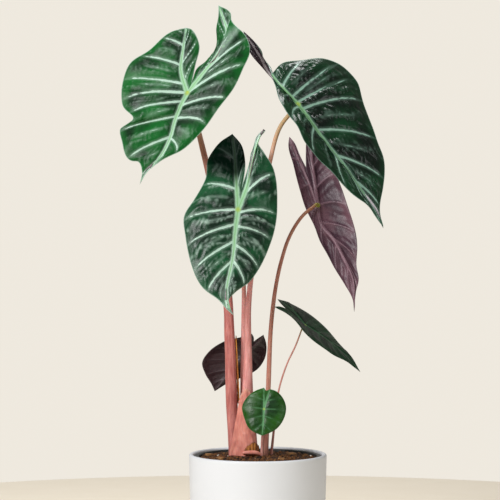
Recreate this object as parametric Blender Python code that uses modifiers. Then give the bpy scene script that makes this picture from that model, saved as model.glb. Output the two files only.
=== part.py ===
"""A potted alocasia: seven arrow-shaped leaves on tall petioles, in a nursery pot inside a
ceramic cover pot.

The frame's origin is the centre of the cover pot's underside, with +Z up, and the plant's front
faces -Y. Lengths in the drawings of the leaves and petioles are in millimetres, as marked.
"""

import math

import bmesh
import bpy
import numpy as np

MM = 0.001

# ---- driving dimensions, in metres --------------------------------------------------------

GAP = 0.0003                  # clearance between two pieces that touch
CUT_OVER = 0.002              # how far a cutter runs past what it cuts

POT_RADIUS = 0.070            # cover pot, outside of the rim
POT_HEIGHT = 0.130
POT_WALL = 0.0045
POT_FLOOR = 0.006
POT_DRAFT = math.radians(1.5)
POT_FOOT_CHAMFER = 0.0025

NURSERY_HEIGHT = 0.122        # thin plastic pot that stands inside
NURSERY_RIM_PLAY = 0.0012     # between its rim and the cover pot
NURSERY_WALL = 0.0012
NURSERY_LIP = 0.003           # the rim stands this far out from the wall
NURSERY_LIP_DEPTH = 0.007
NURSERY_DRAFT = math.radians(6.0)
DRAIN_HOLE_RADIUS = 0.004
DRAIN_HOLES = 6
DRAIN_RING = 0.6              # the ring of holes, as a share of the floor's radius

SOIL_BELOW_RIM = 0.0025       # soil's edge, below the nursery pot's rim
SOIL_MOUND = 0.0025           # how much higher the soil is round the stems
SOIL_MOUND_RADIUS = 0.027

CORM_CENTRE = (-0.007, 0.004)
CORM_HALF_WIDTH = 0.027
CORM_HALF_DEPTH = 0.024
CORM_HALF_HEIGHT = 0.019
CORM_COVER = 0.013            # soil over the corm's top

BLADE_THICKNESS = 0.0010
BLADE_GAP = 0.0010            # between a petiole's end and the blade's underside
WELD = 0.00005                # blade corners closer than this are one
STALK_HOOK = 0.006            # the petiole's last stretch, square to the blade
ROOT_RADIUS = 0.0020
ROOT_COUNT = 5
ROOT_TAPER = 0.45             # how much thinner a root is at its end
ROOT_DROP = 0.062             # how far a root's end lies below its start
ROOT_REACH = 0.009            # how far out it goes from the corm
SHEATH_THICKNESS = 0.0008
AERIAL_ROOT_RADIUS = 0.0021
CHIP_THICKNESS = 0.0024

TUBE_SIDES = 2                # bevel resolution of the petioles and the roots
TURN_STEPS = 40
HOLE_SIDES = 16
LIP_STEPS = 6
ROOT_STEPS = 8
CORM_SEGMENTS = 20

# ---- levels that follow from them ----------------------------------------------------------

NURSERY_TOP = POT_FLOOR + GAP + NURSERY_HEIGHT
SOIL_EDGE = NURSERY_TOP - SOIL_BELOW_RIM
SOIL_TOP = SOIL_EDGE + SOIL_MOUND
CORM_TOP = SOIL_TOP - CORM_COVER
CORM_LEVEL = CORM_TOP - CORM_HALF_HEIGHT


def pot_outer_radius(height):
    """The cover pot's outside radius at a height above its underside."""
    return POT_RADIUS - (POT_HEIGHT - height) * math.tan(POT_DRAFT)


def nursery_outer_radius(height):
    """The nursery pot's outside radius, below its lip, at a height above the underside."""
    below_rim = NURSERY_TOP - height
    rim = pot_outer_radius(NURSERY_TOP) - POT_WALL - NURSERY_RIM_PLAY
    return rim - NURSERY_LIP - below_rim * math.tan(NURSERY_DRAFT)


# ---- collections and materials -------------------------------------------------------------

for leftover in list(bpy.data.objects):
    bpy.data.objects.remove(leftover, do_unlink=True)

plant_collection = bpy.data.collections.new("potted_alocasia")
cutter_collection = bpy.data.collections.new("cutters")
bpy.context.scene.collection.children.link(plant_collection)
bpy.context.scene.collection.children.link(cutter_collection)


def make_material(name, colour, roughness):
    """A Principled material of one colour; none of this plant's parts is metal."""
    material = bpy.data.materials.new(name)
    material.use_nodes = True
    shader = material.node_tree.nodes["Principled BSDF"]
    shader.inputs["Base Color"].default_value = (*colour, 1.0)
    shader.inputs["Roughness"].default_value = roughness
    shader.inputs["Metallic"].default_value = 0.0
    material.diffuse_color = (*colour, 1.0)
    return material


LEAF_GREEN = make_material("leaf_green", (0.010, 0.060, 0.030), 0.30)
LEAF_PURPLE = make_material("leaf_purple", (0.090, 0.025, 0.045), 0.40)
PETIOLE_PINK = make_material("petiole_pink", (0.48, 0.15, 0.12), 0.45)
SHEATH_PINK = make_material("sheath_pink", (0.55, 0.20, 0.15), 0.50)
SHEATH_DRY = make_material("sheath_dry", (0.42, 0.17, 0.04), 0.80)
CORM_BROWN = make_material("corm_brown", (0.16, 0.07, 0.04), 0.85)
ROOT_CREAM = make_material("root_cream", (0.45, 0.30, 0.20), 0.75)
SOIL_BROWN = make_material("soil_brown", (0.060, 0.028, 0.014), 0.95)
BARK_TAN = make_material("bark_tan", (0.40, 0.22, 0.11), 0.90)
NURSERY_PLASTIC = make_material("nursery_plastic", (0.020, 0.022, 0.024), 0.45)
POT_CERAMIC = make_material("pot_ceramic", (0.82, 0.82, 0.81), 0.35)


def add_object(name, data, material, collection=plant_collection):
    """An object for a mesh or a curve, with its material, in a collection."""
    data.materials.append(material)
    made = bpy.data.objects.new(name, data)
    collection.objects.link(made)
    return made


def hide_cutter(cutter):
    """Mark an object as a tool that isn't part of the plant."""
    cutter.hide_render = True
    cutter.display_type = "WIRE"


def cut(target, cutter):
    """Take the cutter's volume away from the target."""
    hide_cutter(cutter)
    boolean = target.modifiers.new("cut_" + cutter.name, "BOOLEAN")
    boolean.operation = "DIFFERENCE"
    boolean.object = cutter


def cut_cylinder(target, name, x, y, low, high, radius):
    """Take an upright cylinder away from the target, between two heights."""
    bpy.ops.mesh.primitive_cylinder_add(
        vertices=HOLE_SIDES,
        radius=radius,
        depth=high - low,
        location=(x, y, (high + low) / 2),
    )
    cutter = bpy.context.active_object
    cutter.name = name
    for home in list(cutter.users_collection):
        home.objects.unlink(cutter)
    cutter_collection.objects.link(cutter)
    cut(target, cutter)


# ---- smooth lines ---------------------------------------------------------------------------

def smooth_line(points, fractions):
    """Places along the smooth curve through the points, by fractions of its length.

    Each stretch is a cubic that leaves its ends along the chord between their neighbours.
    """
    points = np.asarray(points, dtype=float)
    steps = np.linalg.norm(np.diff(points, axis=0), axis=1)
    knots = np.concatenate(([0.0], np.cumsum(steps)))
    slopes = np.gradient(points, knots, axis=0)
    t = np.linspace(0.0, 1.0, 17)[:-1, None]
    stretches = []
    for i, step in enumerate(steps):
        stretches.append(
            (2 * t**3 - 3 * t**2 + 1) * points[i]
            + (t**3 - 2 * t**2 + t) * slopes[i] * step
            + (3 * t**2 - 2 * t**3) * points[i + 1]
            + (t**3 - t**2) * slopes[i + 1] * step
        )
    dense = np.vstack(stretches + [points[-1:]])
    run = np.concatenate(([0.0], np.cumsum(np.linalg.norm(np.diff(dense, axis=0), axis=1))))
    wanted = np.asarray(fractions) * run[-1]
    return np.column_stack([np.interp(wanted, run, dense[:, axis]) for axis in range(3)])


# ---- turned pieces --------------------------------------------------------------------------

def add_turned(name, profile, material, collection=plant_collection, steps=TURN_STEPS):
    """A solid turned about Z from (radius, height) points that run down the outer side."""
    mesh = bpy.data.meshes.new(name)
    edges = [(i, i + 1) for i in range(len(profile) - 1)]
    mesh.from_pydata([(radius, 0.0, height) for radius, height in profile], edges, [])
    made = add_object(name, mesh, material, collection)
    screw = made.modifiers.new("turn", "SCREW")
    screw.steps = steps
    screw.render_steps = steps
    screw.use_merge_vertices = True
    screw.merge_threshold = 0.00001
    screw.use_smooth_shade = False
    return made


def build_cover_pot():
    """A tapered ceramic cup with a round lip and a flat underside."""
    lip = POT_WALL / 2
    lip_centre = POT_HEIGHT - lip
    inner_floor_radius = pot_outer_radius(POT_FLOOR) - POT_WALL
    profile = [(0.0, POT_FLOOR), (inner_floor_radius - POT_FLOOR, POT_FLOOR)]
    profile.append((inner_floor_radius, 2 * POT_FLOOR))
    for turn in range(LIP_STEPS + 1):
        angle = math.pi - math.pi * turn / LIP_STEPS
        radius = pot_outer_radius(lip_centre) - lip + lip * math.cos(angle)
        profile.append((radius, lip_centre + lip * math.sin(angle)))
    profile.append((pot_outer_radius(POT_FOOT_CHAMFER), POT_FOOT_CHAMFER))
    profile.append((pot_outer_radius(0.0) - POT_FOOT_CHAMFER, 0.0))
    profile.append((0.0, 0.0))
    add_turned("cover_pot", profile, POT_CERAMIC)


def build_nursery_pot():
    """A thin plastic pot with an out-turned lip and drain holes in its floor."""
    bottom = POT_FLOOR + GAP
    lip_under = NURSERY_TOP - NURSERY_LIP_DEPTH
    foot = nursery_outer_radius(bottom)
    rim_inner = nursery_outer_radius(NURSERY_TOP) - NURSERY_WALL
    profile = [
        (0.0, bottom + NURSERY_WALL),
        (foot - NURSERY_WALL, bottom + NURSERY_WALL),
        (rim_inner, NURSERY_TOP - NURSERY_WALL),
        (rim_inner + NURSERY_WALL / 2, NURSERY_TOP),
        (rim_inner + NURSERY_WALL + NURSERY_LIP - NURSERY_WALL / 2, NURSERY_TOP),
        (rim_inner + NURSERY_WALL + NURSERY_LIP, NURSERY_TOP - NURSERY_WALL),
        (rim_inner + NURSERY_WALL + NURSERY_LIP, lip_under),
        (nursery_outer_radius(lip_under), lip_under),
        (foot, bottom),
        (0.0, bottom),
    ]
    pot = add_turned("nursery_pot", profile, NURSERY_PLASTIC)
    ring = foot * DRAIN_RING
    for hole in range(DRAIN_HOLES):
        angle = 2 * math.pi * hole / DRAIN_HOLES
        x, y = ring * math.cos(angle), ring * math.sin(angle)
        low, high = bottom - CUT_OVER, bottom + NURSERY_WALL + CUT_OVER
        cut_cylinder(pot, f"drain_drill_{hole + 1}", x, y, low, high, DRAIN_HOLE_RADIUS)


# ---- tubes ----------------------------------------------------------------------------------

def add_tube(name, places, radii, material, collection=plant_collection, fill=True):
    """A round tube through the places, in metres, with a radius at each of them."""
    curve = bpy.data.curves.new(name, "CURVE")
    curve.dimensions = "3D"
    curve.bevel_depth = 1.0
    curve.bevel_resolution = TUBE_SIDES
    curve.use_fill_caps = fill
    spline = curve.splines.new("POLY")
    spline.points.add(len(places) - 1)
    for point, place, radius in zip(spline.points, places, radii):
        point.co = (*place, 1.0)
        point.radius = radius
    return add_object(name, curve, material, collection)


def tube_as_mesh(tube):
    """The tube as a closed mesh object, in the tube's place, so that it can cut."""
    depsgraph = bpy.context.evaluated_depsgraph_get()
    mesh = bpy.data.meshes.new_from_object(tube.evaluated_get(depsgraph))
    welded = bmesh.new()
    welded.from_mesh(mesh)
    bmesh.ops.remove_doubles(welded, verts=welded.verts, dist=0.00001)
    bmesh.ops.recalc_face_normals(welded, faces=welded.faces)
    welded.to_mesh(mesh)
    welded.free()
    name = tube.name
    solid = bpy.data.objects.new(name + "_solid", mesh)
    solid.matrix_world = tube.matrix_world
    for home in tube.users_collection:
        home.objects.link(solid)
    bpy.data.objects.remove(tube, do_unlink=True)
    solid.name = name
    return solid


# ---- leaves ---------------------------------------------------------------------------------
#
# A leaf is drawn as it is seen from the front, in millimetres from the joint where its petiole
# meets the blade: (x to the right, z up), with a third number where a place is pushed back
# along +Y. Each half has the vein of its basal lobe, from the lobe's tip to the joint, its
# outer margin, from the lobe's tip to the leaf's tip, and the lobe's inner margin, from its
# tip to the bottom of the notch between the two lobes.

LEAVES = {
    "upper_left": {
        "joint": (-72, 6, 497),
        "lean": (-0.28, 0.40),
        "rib": [(0, 0), (-6, -12), (-12, -28), (-17, -47), (-29, -69), (-41, -81), (-47, -94)],
        "notch": (5, 13),
        "left": {
            "lobe": [(-2, 71, 6), (-5, 47), (-7, 25), (0, 0)],
            "outer": [(-2, 71, 6), (-13, 68), (-40, 47), (-60, 30), (-68, 6), (-67, -11),
                      (-55, -27, -5), (-68, -37, 4), (-66, -50), (-56, -70), (-49, -71),
                      (-45, -82), (-47, -94)],
            "inner": [(-2, 71, 6), (4, 68), (12, 50), (8, 29), (5, 13)],
            "fold": -0.20,
            "puff": 0.06,
            "opposite": 0.42,
            "sweep": (1.2, 1.8),
        },
        "right": {
            "lobe": [(31, 96, 18), (36, 82, 13), (40, 60, 3), (30, 40), (13, 17), (0, 0)],
            "outer": [(31, 96, 18), (41, 90, 14), (48, 72), (60, 59), (64, 43), (57, 25),
                      (46, 2), (31, -18), (15, -41), (-3, -58), (-28, -72), (-40, -82),
                      (-47, -94)],
            "inner": [(31, 96, 18), (31, 84, 15), (29, 70, 9), (29, 50, 8), (20, 35, 6),
                      (10, 27, 4), (5, 13)],
            "fold": 0.10,
            "puff": 0.06,
            "opposite": 0.31,
            "sweep": (1.3, 1.8),
        },
    },
    "front": {
        "joint": (-20, -45, 377),
        "lean": (0.08, 0.40),
        "rib": [(0, 0), (-3, -25), (-4, -40), (-6, -54), (-10, -73), (-11, -87), (-4, -103)],
        "notch": (5, 26),
        "left": {
            "lobe": [(-6, 78, 14), (-4, 62, 8), (-2, 33), (0, 0)],
            "outer": [(-6, 78, 14), (-18, 69, 14), (-30, 52, 10), (-33, 32, 4), (-44, 10),
                      (-54, -8), (-52, -26), (-46, -53), (-34, -77), (-18, -89), (-9, -99),
                      (-4, -103)],
            "inner": [(-6, 78, 14), (3, 67, 12), (7, 51, 8), (7, 39, 2), (5, 26)],
            "fold": 0.12,
            "puff": 0.08,
            "opposite": 0.46,
            "sweep": (1.8, 1.7),
        },
        "right": {
            "lobe": [(26, 84, 26), (20, 70, 14), (14, 47), (8, 21), (0, 0)],
            "outer": [(26, 84, 26), (20, 70, 16), (26, 58, 8), (36, 42), (39, 20), (39, -2),
                      (36, -20), (27, -46), (12, -71), (-3, -82), (-8, -88), (-4, -103)],
            "inner": [(26, 84, 26), (19, 76, 19), (15, 62, 11), (10, 43, 4), (5, 26)],
            "fold": 0.30,
            "puff": 0.08,
            "opposite": 0.40,
            "sweep": (2.6, 1.8),
        },
    },
    "upper_right": {
        "joint": (41, 12, 486),
        "lean": (0.30, 0.36),
        "rib": [(0, 0), (13, -18), (28, -39), (47, -63), (64, -88), (80, -110), (86, -127)],
        "notch": (-9, 14, 6),
        "left": {
            "lobe": [(-56, 82, 44), (-40, 57, 36), (-25, 29, 18), (0, 0)],
            "outer": [(-56, 82, 44), (-42, 67, 34), (-33, 47, 24), (-25, 25, 8), (-19, 1, -6),
                      (-8, -16, -12), (11, -46, -14), (37, -75, -10), (58, -97, -6),
                      (74, -111, -2), (86, -127)],
            "inner": [(-56, 82, 44), (-49, 58, 40), (-36, 41, 32), (-24, 27, 26), (-9, 14, 6)],
            "fold": -0.55,
            "puff": 0.05,
            "opposite": 0.42,
            "sweep": (1.5, 1.8),
        },
        "right": {
            "lobe": [(-27, 32, 8), (-19, 21, 2), (0, 0)],
            "outer": [(-27, 32, 8), (-15, 44, 6), (5, 48), (29, 50), (46, 45, 2), (63, 27, 2),
                      (71, -2), (81, -34), (89, -60), (87, -85), (83, -110), (86, -127)],
            "inner": [(-27, 32, 8), (-23, 23, 10), (-9, 14, 6)],
            "fold": 0.05,
            "puff": 0.10,
            "opposite": 0.38,
            "sweep": (1.4, 1.8),
        },
    },
    "right_hanging": {
        "joint": (62, 30, 383),
        "lean": (-0.30, 0.16),
        "rib": [(0, 0), (2, -17), (17, -37), (26, -55), (35, -75), (36, -91), (36, -109)],
        "notch": (-12, 40, -3),
        "left": {
            "lobe": [(-29, 72, -6), (-19, 47, -4), (-8, 22, -2), (0, 0)],
            "outer": [(-29, 72, -6), (-30, 65, -7), (-25, 42, -8), (-15, 4, -8),
                      (-3, -23, -8), (2, -38, -8), (13, -59, -6), (28, -83, -4),
                      (35, -98, -2), (36, -109)],
            "inner": [(-29, 72, -6), (-24, 66, -5), (-18, 52, -4), (-12, 40, -3)],
            "fold": 0.10,
            "puff": -0.05,
            "opposite": 0.45,
            "sweep": (1.4, 1.6),
        },
        "right": {
            "lobe": [(-3, 86, 8), (-6, 56, 3), (-3, 25, 1), (0, 0)],
            "outer": [(-3, 86, 8), (8, 79, 6), (16, 46, 2), (26, 13, 0), (35, -14),
                      (40, -43, 2), (39, -61, 4), (41, -76, 2), (38, -89), (36, -109)],
            "inner": [(-3, 86, 8), (-10, 73, 4), (-12, 53, -1), (-12, 40, -3)],
            "fold": 0.15,
            "puff": -0.10,
            "opposite": 0.42,
            "sweep": (2.0, 1.8),
        },
    },
    "narrow": {
        "joint": (48, -8, 261),
        "lean": (0.45, 0.40),
        "rib": [(0, 0), (21, -14), (41, -31), (56, -48)],
        "notch": (-20, 17),
        "left": {
            "lobe": [(-32, 19, -6), (-17, 12, -3), (0, 0)],
            "outer": [(-32, 19, -6), (-17, 11, -14), (-1, -7, -22), (24, -27, -18),
                      (45, -38, -8), (56, -48)],
            "inner": [(-32, 19, -6), (-26, 19, -3), (-20, 17)],
            "fold": 0.0,
            "puff": 0.05,
            "opposite": 0.36,
            "sweep": (1.2, 1.5),
        },
        "right": {
            "lobe": [(-28, 26, 12), (-15, 17, 6), (0, 0)],
            "outer": [(-28, 26, 12), (-15, 22, 18), (5, 10, 20), (19, -2, 18), (34, -18, 14),
                      (48, -33, 6), (56, -48)],
            "inner": [(-28, 26, 12), (-25, 22, 6), (-20, 17)],
            "fold": 0.0,
            "puff": 0.05,
            "opposite": 0.36,
            "sweep": (1.2, 1.5),
        },
    },
    "round": {
        "joint": (6, -30, 178),
        "lean": (0.0, 0.25),
        "rib": [(0, 0), (-1, -14), (-2, -26)],
        "notch": (2, 18),
        "left": {
            "lobe": [(0, 21), (0, 10), (0, 0)],
            "outer": [(0, 21), (-8, 18), (-17, 11), (-22, 2), (-20, -9), (-14, -20),
                      (-7, -24), (-2, -26)],
            "inner": [(0, 21), (1, 19.5), (2, 18)],
            "fold": 0.15,
            "puff": 0.08,
            "opposite": 0.42,
            "sweep": (1.2, 1.5),
        },
        "right": {
            "lobe": [(6, 19.5), (3, 10), (0, 0)],
            "outer": [(6, 19.5), (11, 18), (18, 12), (22, 2), (20, -9), (13, -19), (4, -24),
                      (-2, -26)],
            "inner": [(6, 19.5), (4, 18.5), (2, 18)],
            "fold": 0.15,
            "puff": 0.08,
            "opposite": 0.42,
            "sweep": (1.2, 1.5),
        },
    },
    "rear": {
        "joint": (-12, 45, 231),
        "lean": (0.10, -0.35),
        "rib": [(0, 0), (-10, -13), (-22, -28), (-33, -42)],
        "notch": (8, 11),
        "left": {
            "lobe": [(6, 19), (4, 9), (0, 0)],
            "outer": [(6, 19), (-7, 15), (-23, 11), (-38, 1), (-46, -12), (-43, -23),
                      (-36, -35), (-33, -42)],
            "inner": [(6, 19), (8, 15), (8, 11)],
            "fold": 0.10,
            "puff": -0.08,
            "opposite": 0.40,
            "sweep": (1.2, 1.5),
        },
        "right": {
            "lobe": [(18, 18), (10, 8), (0, 0)],
            "outer": [(18, 18), (21, 8), (20, -6), (13, -18), (0, -26), (-18, -33),
                      (-33, -42)],
            "inner": [(18, 18), (12, 14), (8, 11)],
            "fold": 0.25,
            "puff": -0.08,
            "opposite": 0.40,
            "sweep": (1.2, 1.5),
        },
    },
}

BACK_SHOWS = ("right_hanging", "rear")   # these two turn their undersides to the front

# Petioles: where each stands on the corm, its other places as it rises, both (x, y, z) in
# millimetres, and its radius at the soil, part of the way up, and at the blade.
PETIOLES = {
    "upper_left": {
        "foot": (-23.5, 2),
        "rise": [(-27, 3, 190), (-28, 4, 225), (-30, 8, 276), (-36, 14, 340), (-47, 18, 400),
                 (-60, 20, 455)],
        "radii": [(0, 6.2), (0.25, 5.6), (0.5, 4.5), (0.75, 3.4), (1, 2.4)],
    },
    "front": {
        "foot": (-14, 13.5),
        "rise": [(-14.2, 13, 190), (-14.4, 12, 250), (-14.2, 8, 290), (-15.5, -8, 330),
                 (-18, -26, 360)],
        "radii": [(0, 5.2), (0.2, 4.0), (0.45, 2.8), (0.7, 2.1), (1, 1.9)],
    },
    "upper_right": {
        "foot": (-10.5, -5),
        "rise": [(-11, -5, 160), (-10.6, -4, 190), (-10, -3, 225), (-9.3, -3, 285), (-4, -1, 330),
                 (6, 3, 385), (13, 8, 430), (24, 14, 465)],
        "radii": [(0, 8.4), (0.1, 7.0), (0.18, 5.4), (0.3, 3.5), (0.45, 2.7), (0.7, 2.3), (1, 2.1)],
    },
    "right_hanging": {
        "foot": (8, -2),
        "rise": [(10.5, 0, 195), (15, 3, 276), (18, 4, 298), (24, 6, 326), (32, 8, 350),
                 (45, 12, 371)],
        "radii": [(0, 2.7), (0.4, 2.3), (0.8, 1.8), (1, 1.7)],
    },
    "narrow": {
        "foot": (14, 3),
        "rise": [(17, 3, 160), (21, 2, 193), (30, 0, 222), (38, -1, 239)],
        "radii": [(0, 1.4), (0.4, 0.95), (1, 0.75)],
    },
    "round": {
        "foot": (4, -12),
        "rise": [(4.5, -14, 145), (5.5, -20, 162)],
        "radii": [(0, 1.6), (1, 1.1)],
    },
    "rear": {
        "foot": (-7, 22),
        "rise": [(-8, 24, 160), (-10, 30, 190), (-12, 35, 212)],
        "radii": [(0, 2.2), (1, 1.5)],
    },
}

# Grid of one half of a blade: rows along the lobe's vein, rows along the rib, columns from
# the vein to the margin, and columns from the lobe's vein to the notch.
BLADE_GRID = {
    "upper_left": (8, 11, 4, 2),
    "front": (8, 11, 4, 2),
    "upper_right": (8, 11, 4, 2),
    "right_hanging": (7, 10, 3, 2),
    "narrow": (4, 7, 3, 1),
    "round": (4, 6, 3, 1),
    "rear": (4, 7, 3, 1),
}


def place(point, lean):
    """A drawn point as (x, y, z): its depth is the leaf's lean, plus its own push."""
    x, z = point[:2]
    push = point[2] if len(point) > 2 else 0.0
    return (x, lean[0] * x + lean[1] * z + push, z)


def blade_halves(leaf, grid):
    """The blade's four patches, each a grid of (x, y, z) places in metres.

    A patch runs between two curves, from the vein (column 0) to the margin (last column).
    Between them the surface is the straight line from one to the other, turned back by the
    half's fold in proportion to the distance from the vein, and swollen by its puff, which
    is highest halfway and nothing at both edges.
    """
    lobe_rows, rib_rows, columns, inner_columns = grid
    lean = leaf["lean"]
    joint = np.array(leaf["joint"], dtype=float)
    along_lobe = np.linspace(0.0, 1.0, lobe_rows + 1)
    along_rib = np.linspace(0.0, 1.0, rib_rows + 1)
    patches = []
    for side in ("left", "right"):
        half = leaf[side]
        lobe_sweep, rib_sweep = half["sweep"]
        opposite = half["opposite"]
        curves = {key: [place(p, lean) for p in half[key]] for key in ("lobe", "outer", "inner")}
        rib = [place(p, lean) for p in leaf["rib"]]
        vein = np.vstack((smooth_line(curves["lobe"], along_lobe),
                          smooth_line(rib, along_rib)[1:]))
        reach = np.concatenate((opposite * along_lobe**lobe_sweep,
                                1 - (1 - opposite) * (1 - along_rib[1:]) ** rib_sweep))
        outer = smooth_line(curves["outer"], reach)
        inner = smooth_line(curves["inner"], along_lobe)
        across = np.linspace(0.0, 1.0, columns + 1)
        patches.append(spread(vein, outer, across, half["fold"], half["puff"]))
        across = np.linspace(0.0, 1.0, inner_columns + 1)
        patches.append(spread(vein[:lobe_rows + 1], inner, across, 0.0, 0.0))
    return [(patch + joint) * MM for patch in patches]


def spread(vein, margin, across, fold, puff):
    """A patch between a vein and a margin, folded back and swollen as its half says.

    Both grow with the patch's width, which is measured square to the vein.
    """
    run = np.gradient(vein[:, [0, 2]], axis=0)
    reach = (margin - vein)[:, [0, 2]]
    width = np.abs(run[:, 0] * reach[:, 1] - run[:, 1] * reach[:, 0])
    width = (width / np.linalg.norm(run, axis=1))[:, None]
    patch = vein[:, None, :] * (1 - across)[None, :, None]
    patch = patch + margin[:, None, :] * across[None, :, None]
    patch[:, :, 1] += fold * width * across[None, :]
    patch[:, :, 1] -= 4 * puff * width * (across * (1 - across))[None, :]
    return patch


def add_blade(name, leaf, grid, material):
    """The blade's surface, welded from its patches, with its thickness on both sides."""
    blade = bmesh.new()
    for patch in blade_halves(leaf, grid):
        rows, columns = patch.shape[:2]
        verts = [[blade.verts.new(patch[i, j]) for j in range(columns)] for i in range(rows)]
        for i in range(rows - 1):
            for j in range(columns - 1):
                corners = (verts[i][j], verts[i][j + 1], verts[i + 1][j + 1], verts[i + 1][j])
                blade.faces.new(corners)
    bmesh.ops.remove_doubles(blade, verts=blade.verts, dist=WELD)
    bmesh.ops.triangulate(blade, faces=blade.faces)
    bmesh.ops.recalc_face_normals(blade, faces=blade.faces)
    mesh = bpy.data.meshes.new(name)
    blade.to_mesh(mesh)
    blade.free()
    made = add_object(name, mesh, material)
    thickness = made.modifiers.new("thickness", "SOLIDIFY")
    thickness.thickness = BLADE_THICKNESS
    thickness.offset = 0.0
    thickness.use_even_offset = False
    return made


def underside_normal(leaf, back_shows):
    """The direction out of the blade's underside at the petiole's joint."""
    lean_x, lean_z = leaf["lean"]
    normal = np.array((lean_x, -1.0, lean_z))
    normal /= np.linalg.norm(normal)
    return normal if back_shows else -normal


def corm_surface(x, y):
    """The height of the corm's surface above a place on the soil, in metres."""
    across = (x - CORM_CENTRE[0]) / CORM_HALF_WIDTH
    deep = (y - CORM_CENTRE[1]) / CORM_HALF_DEPTH
    return CORM_LEVEL + CORM_HALF_HEIGHT * math.sqrt(max(0.0, 1 - across**2 - deep**2))


def foot_height(x, y, radius):
    """The height at which a round foot of this radius rests on the corm."""
    heights = [corm_surface(x, y)]
    for turn in range(HOLE_SIDES):
        angle = 2 * math.pi * turn / HOLE_SIDES
        heights.append(corm_surface(x + radius * math.cos(angle), y + radius * math.sin(angle)))
    return max(heights) + GAP


def petiole_line(name):
    """The petiole's places in metres, and its radius at each of them."""
    petiole = PETIOLES[name]
    leaf = LEAVES[name]
    normal = underside_normal(leaf, name in BACK_SHOWS)
    joint = np.array(leaf["joint"]) * MM
    end = joint + normal * (BLADE_THICKNESS / 2 + BLADE_GAP)
    hook = end + normal * STALK_HOOK
    foot_x, foot_y = (value * MM for value in petiole["foot"])
    base_radius = petiole["radii"][0][1] * MM
    foot = (foot_x, foot_y, foot_height(foot_x, foot_y, base_radius))
    ground = (foot_x, foot_y, SOIL_TOP + 2 * CUT_OVER)
    rise = [tuple(value * MM for value in step) for step in petiole["rise"]]
    count = 6 + 2 * len(rise)
    upper = smooth_line([ground, *rise, tuple(hook)], np.linspace(0.0, 1.0, count))
    places = [foot, *(tuple(step) for step in upper), tuple(end)]
    fractions = [0.0, *np.linspace(0.0, 1.0, count), 1.0]
    shares, radii = zip(*petiole["radii"])
    return places, [radius * MM for radius in np.interp(fractions, shares, radii)]


def build_leaves():
    """Every blade and its petiole."""
    for name, leaf in LEAVES.items():
        material = LEAF_PURPLE if name in BACK_SHOWS else LEAF_GREEN
        add_blade(f"blade_{name}", leaf, BLADE_GRID[name], material)
        places, radii = petiole_line(name)
        add_tube(f"petiole_{name}", places, radii, PETIOLE_PINK)


# ---- corm, roots and soil --------------------------------------------------------------------

def add_ball(name, centre, halves, material, collection):
    """A ball squeezed to its three half sizes."""
    ball = bmesh.new()
    bmesh.ops.create_uvsphere(ball, u_segments=CORM_SEGMENTS, v_segments=CORM_SEGMENTS // 2, radius=1.0)
    bmesh.ops.scale(ball, vec=halves, verts=ball.verts)
    bmesh.ops.translate(ball, vec=centre, verts=ball.verts)
    mesh = bpy.data.meshes.new(name)
    ball.to_mesh(mesh)
    ball.free()
    return add_object(name, mesh, material, collection)


def root_line(number, grow=0.0):
    """One root's places, from just off the corm's flank out and down into the soil.

    A grown root is the space for one: it is thicker and longer by that much all round.
    """
    angle = 2 * math.pi * (number + 0.25) / ROOT_COUNT
    out = np.array((math.cos(angle), math.sin(angle)))
    halves = np.array((CORM_HALF_WIDTH, CORM_HALF_DEPTH))
    flank = 1 / np.linalg.norm(out / halves)
    start = flank + ROOT_RADIUS + GAP
    along = np.linspace(0.0, 1.0, ROOT_STEPS + 1)
    reach = start + ROOT_REACH * np.sin(along * math.pi / 2)
    drop = CORM_LEVEL - ROOT_DROP * along**1.3
    reach[0] -= grow
    drop[0] += grow
    drop[-1] -= grow
    places = [(CORM_CENTRE[0] + out[0] * r, CORM_CENTRE[1] + out[1] * r, z)
              for r, z in zip(reach, drop)]
    radii = ROOT_RADIUS * (1 - ROOT_TAPER * along) + grow
    return places, radii


def build_root_stock():
    """The corm that the petioles stand on, and its main roots."""
    centre = (*CORM_CENTRE, CORM_LEVEL)
    halves = (CORM_HALF_WIDTH, CORM_HALF_DEPTH, CORM_HALF_HEIGHT)
    add_ball("corm", centre, halves, CORM_BROWN, plant_collection)
    for number in range(ROOT_COUNT):
        places, radii = root_line(number)
        add_tube(f"root_{number + 1}", places, radii, ROOT_CREAM)


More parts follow.
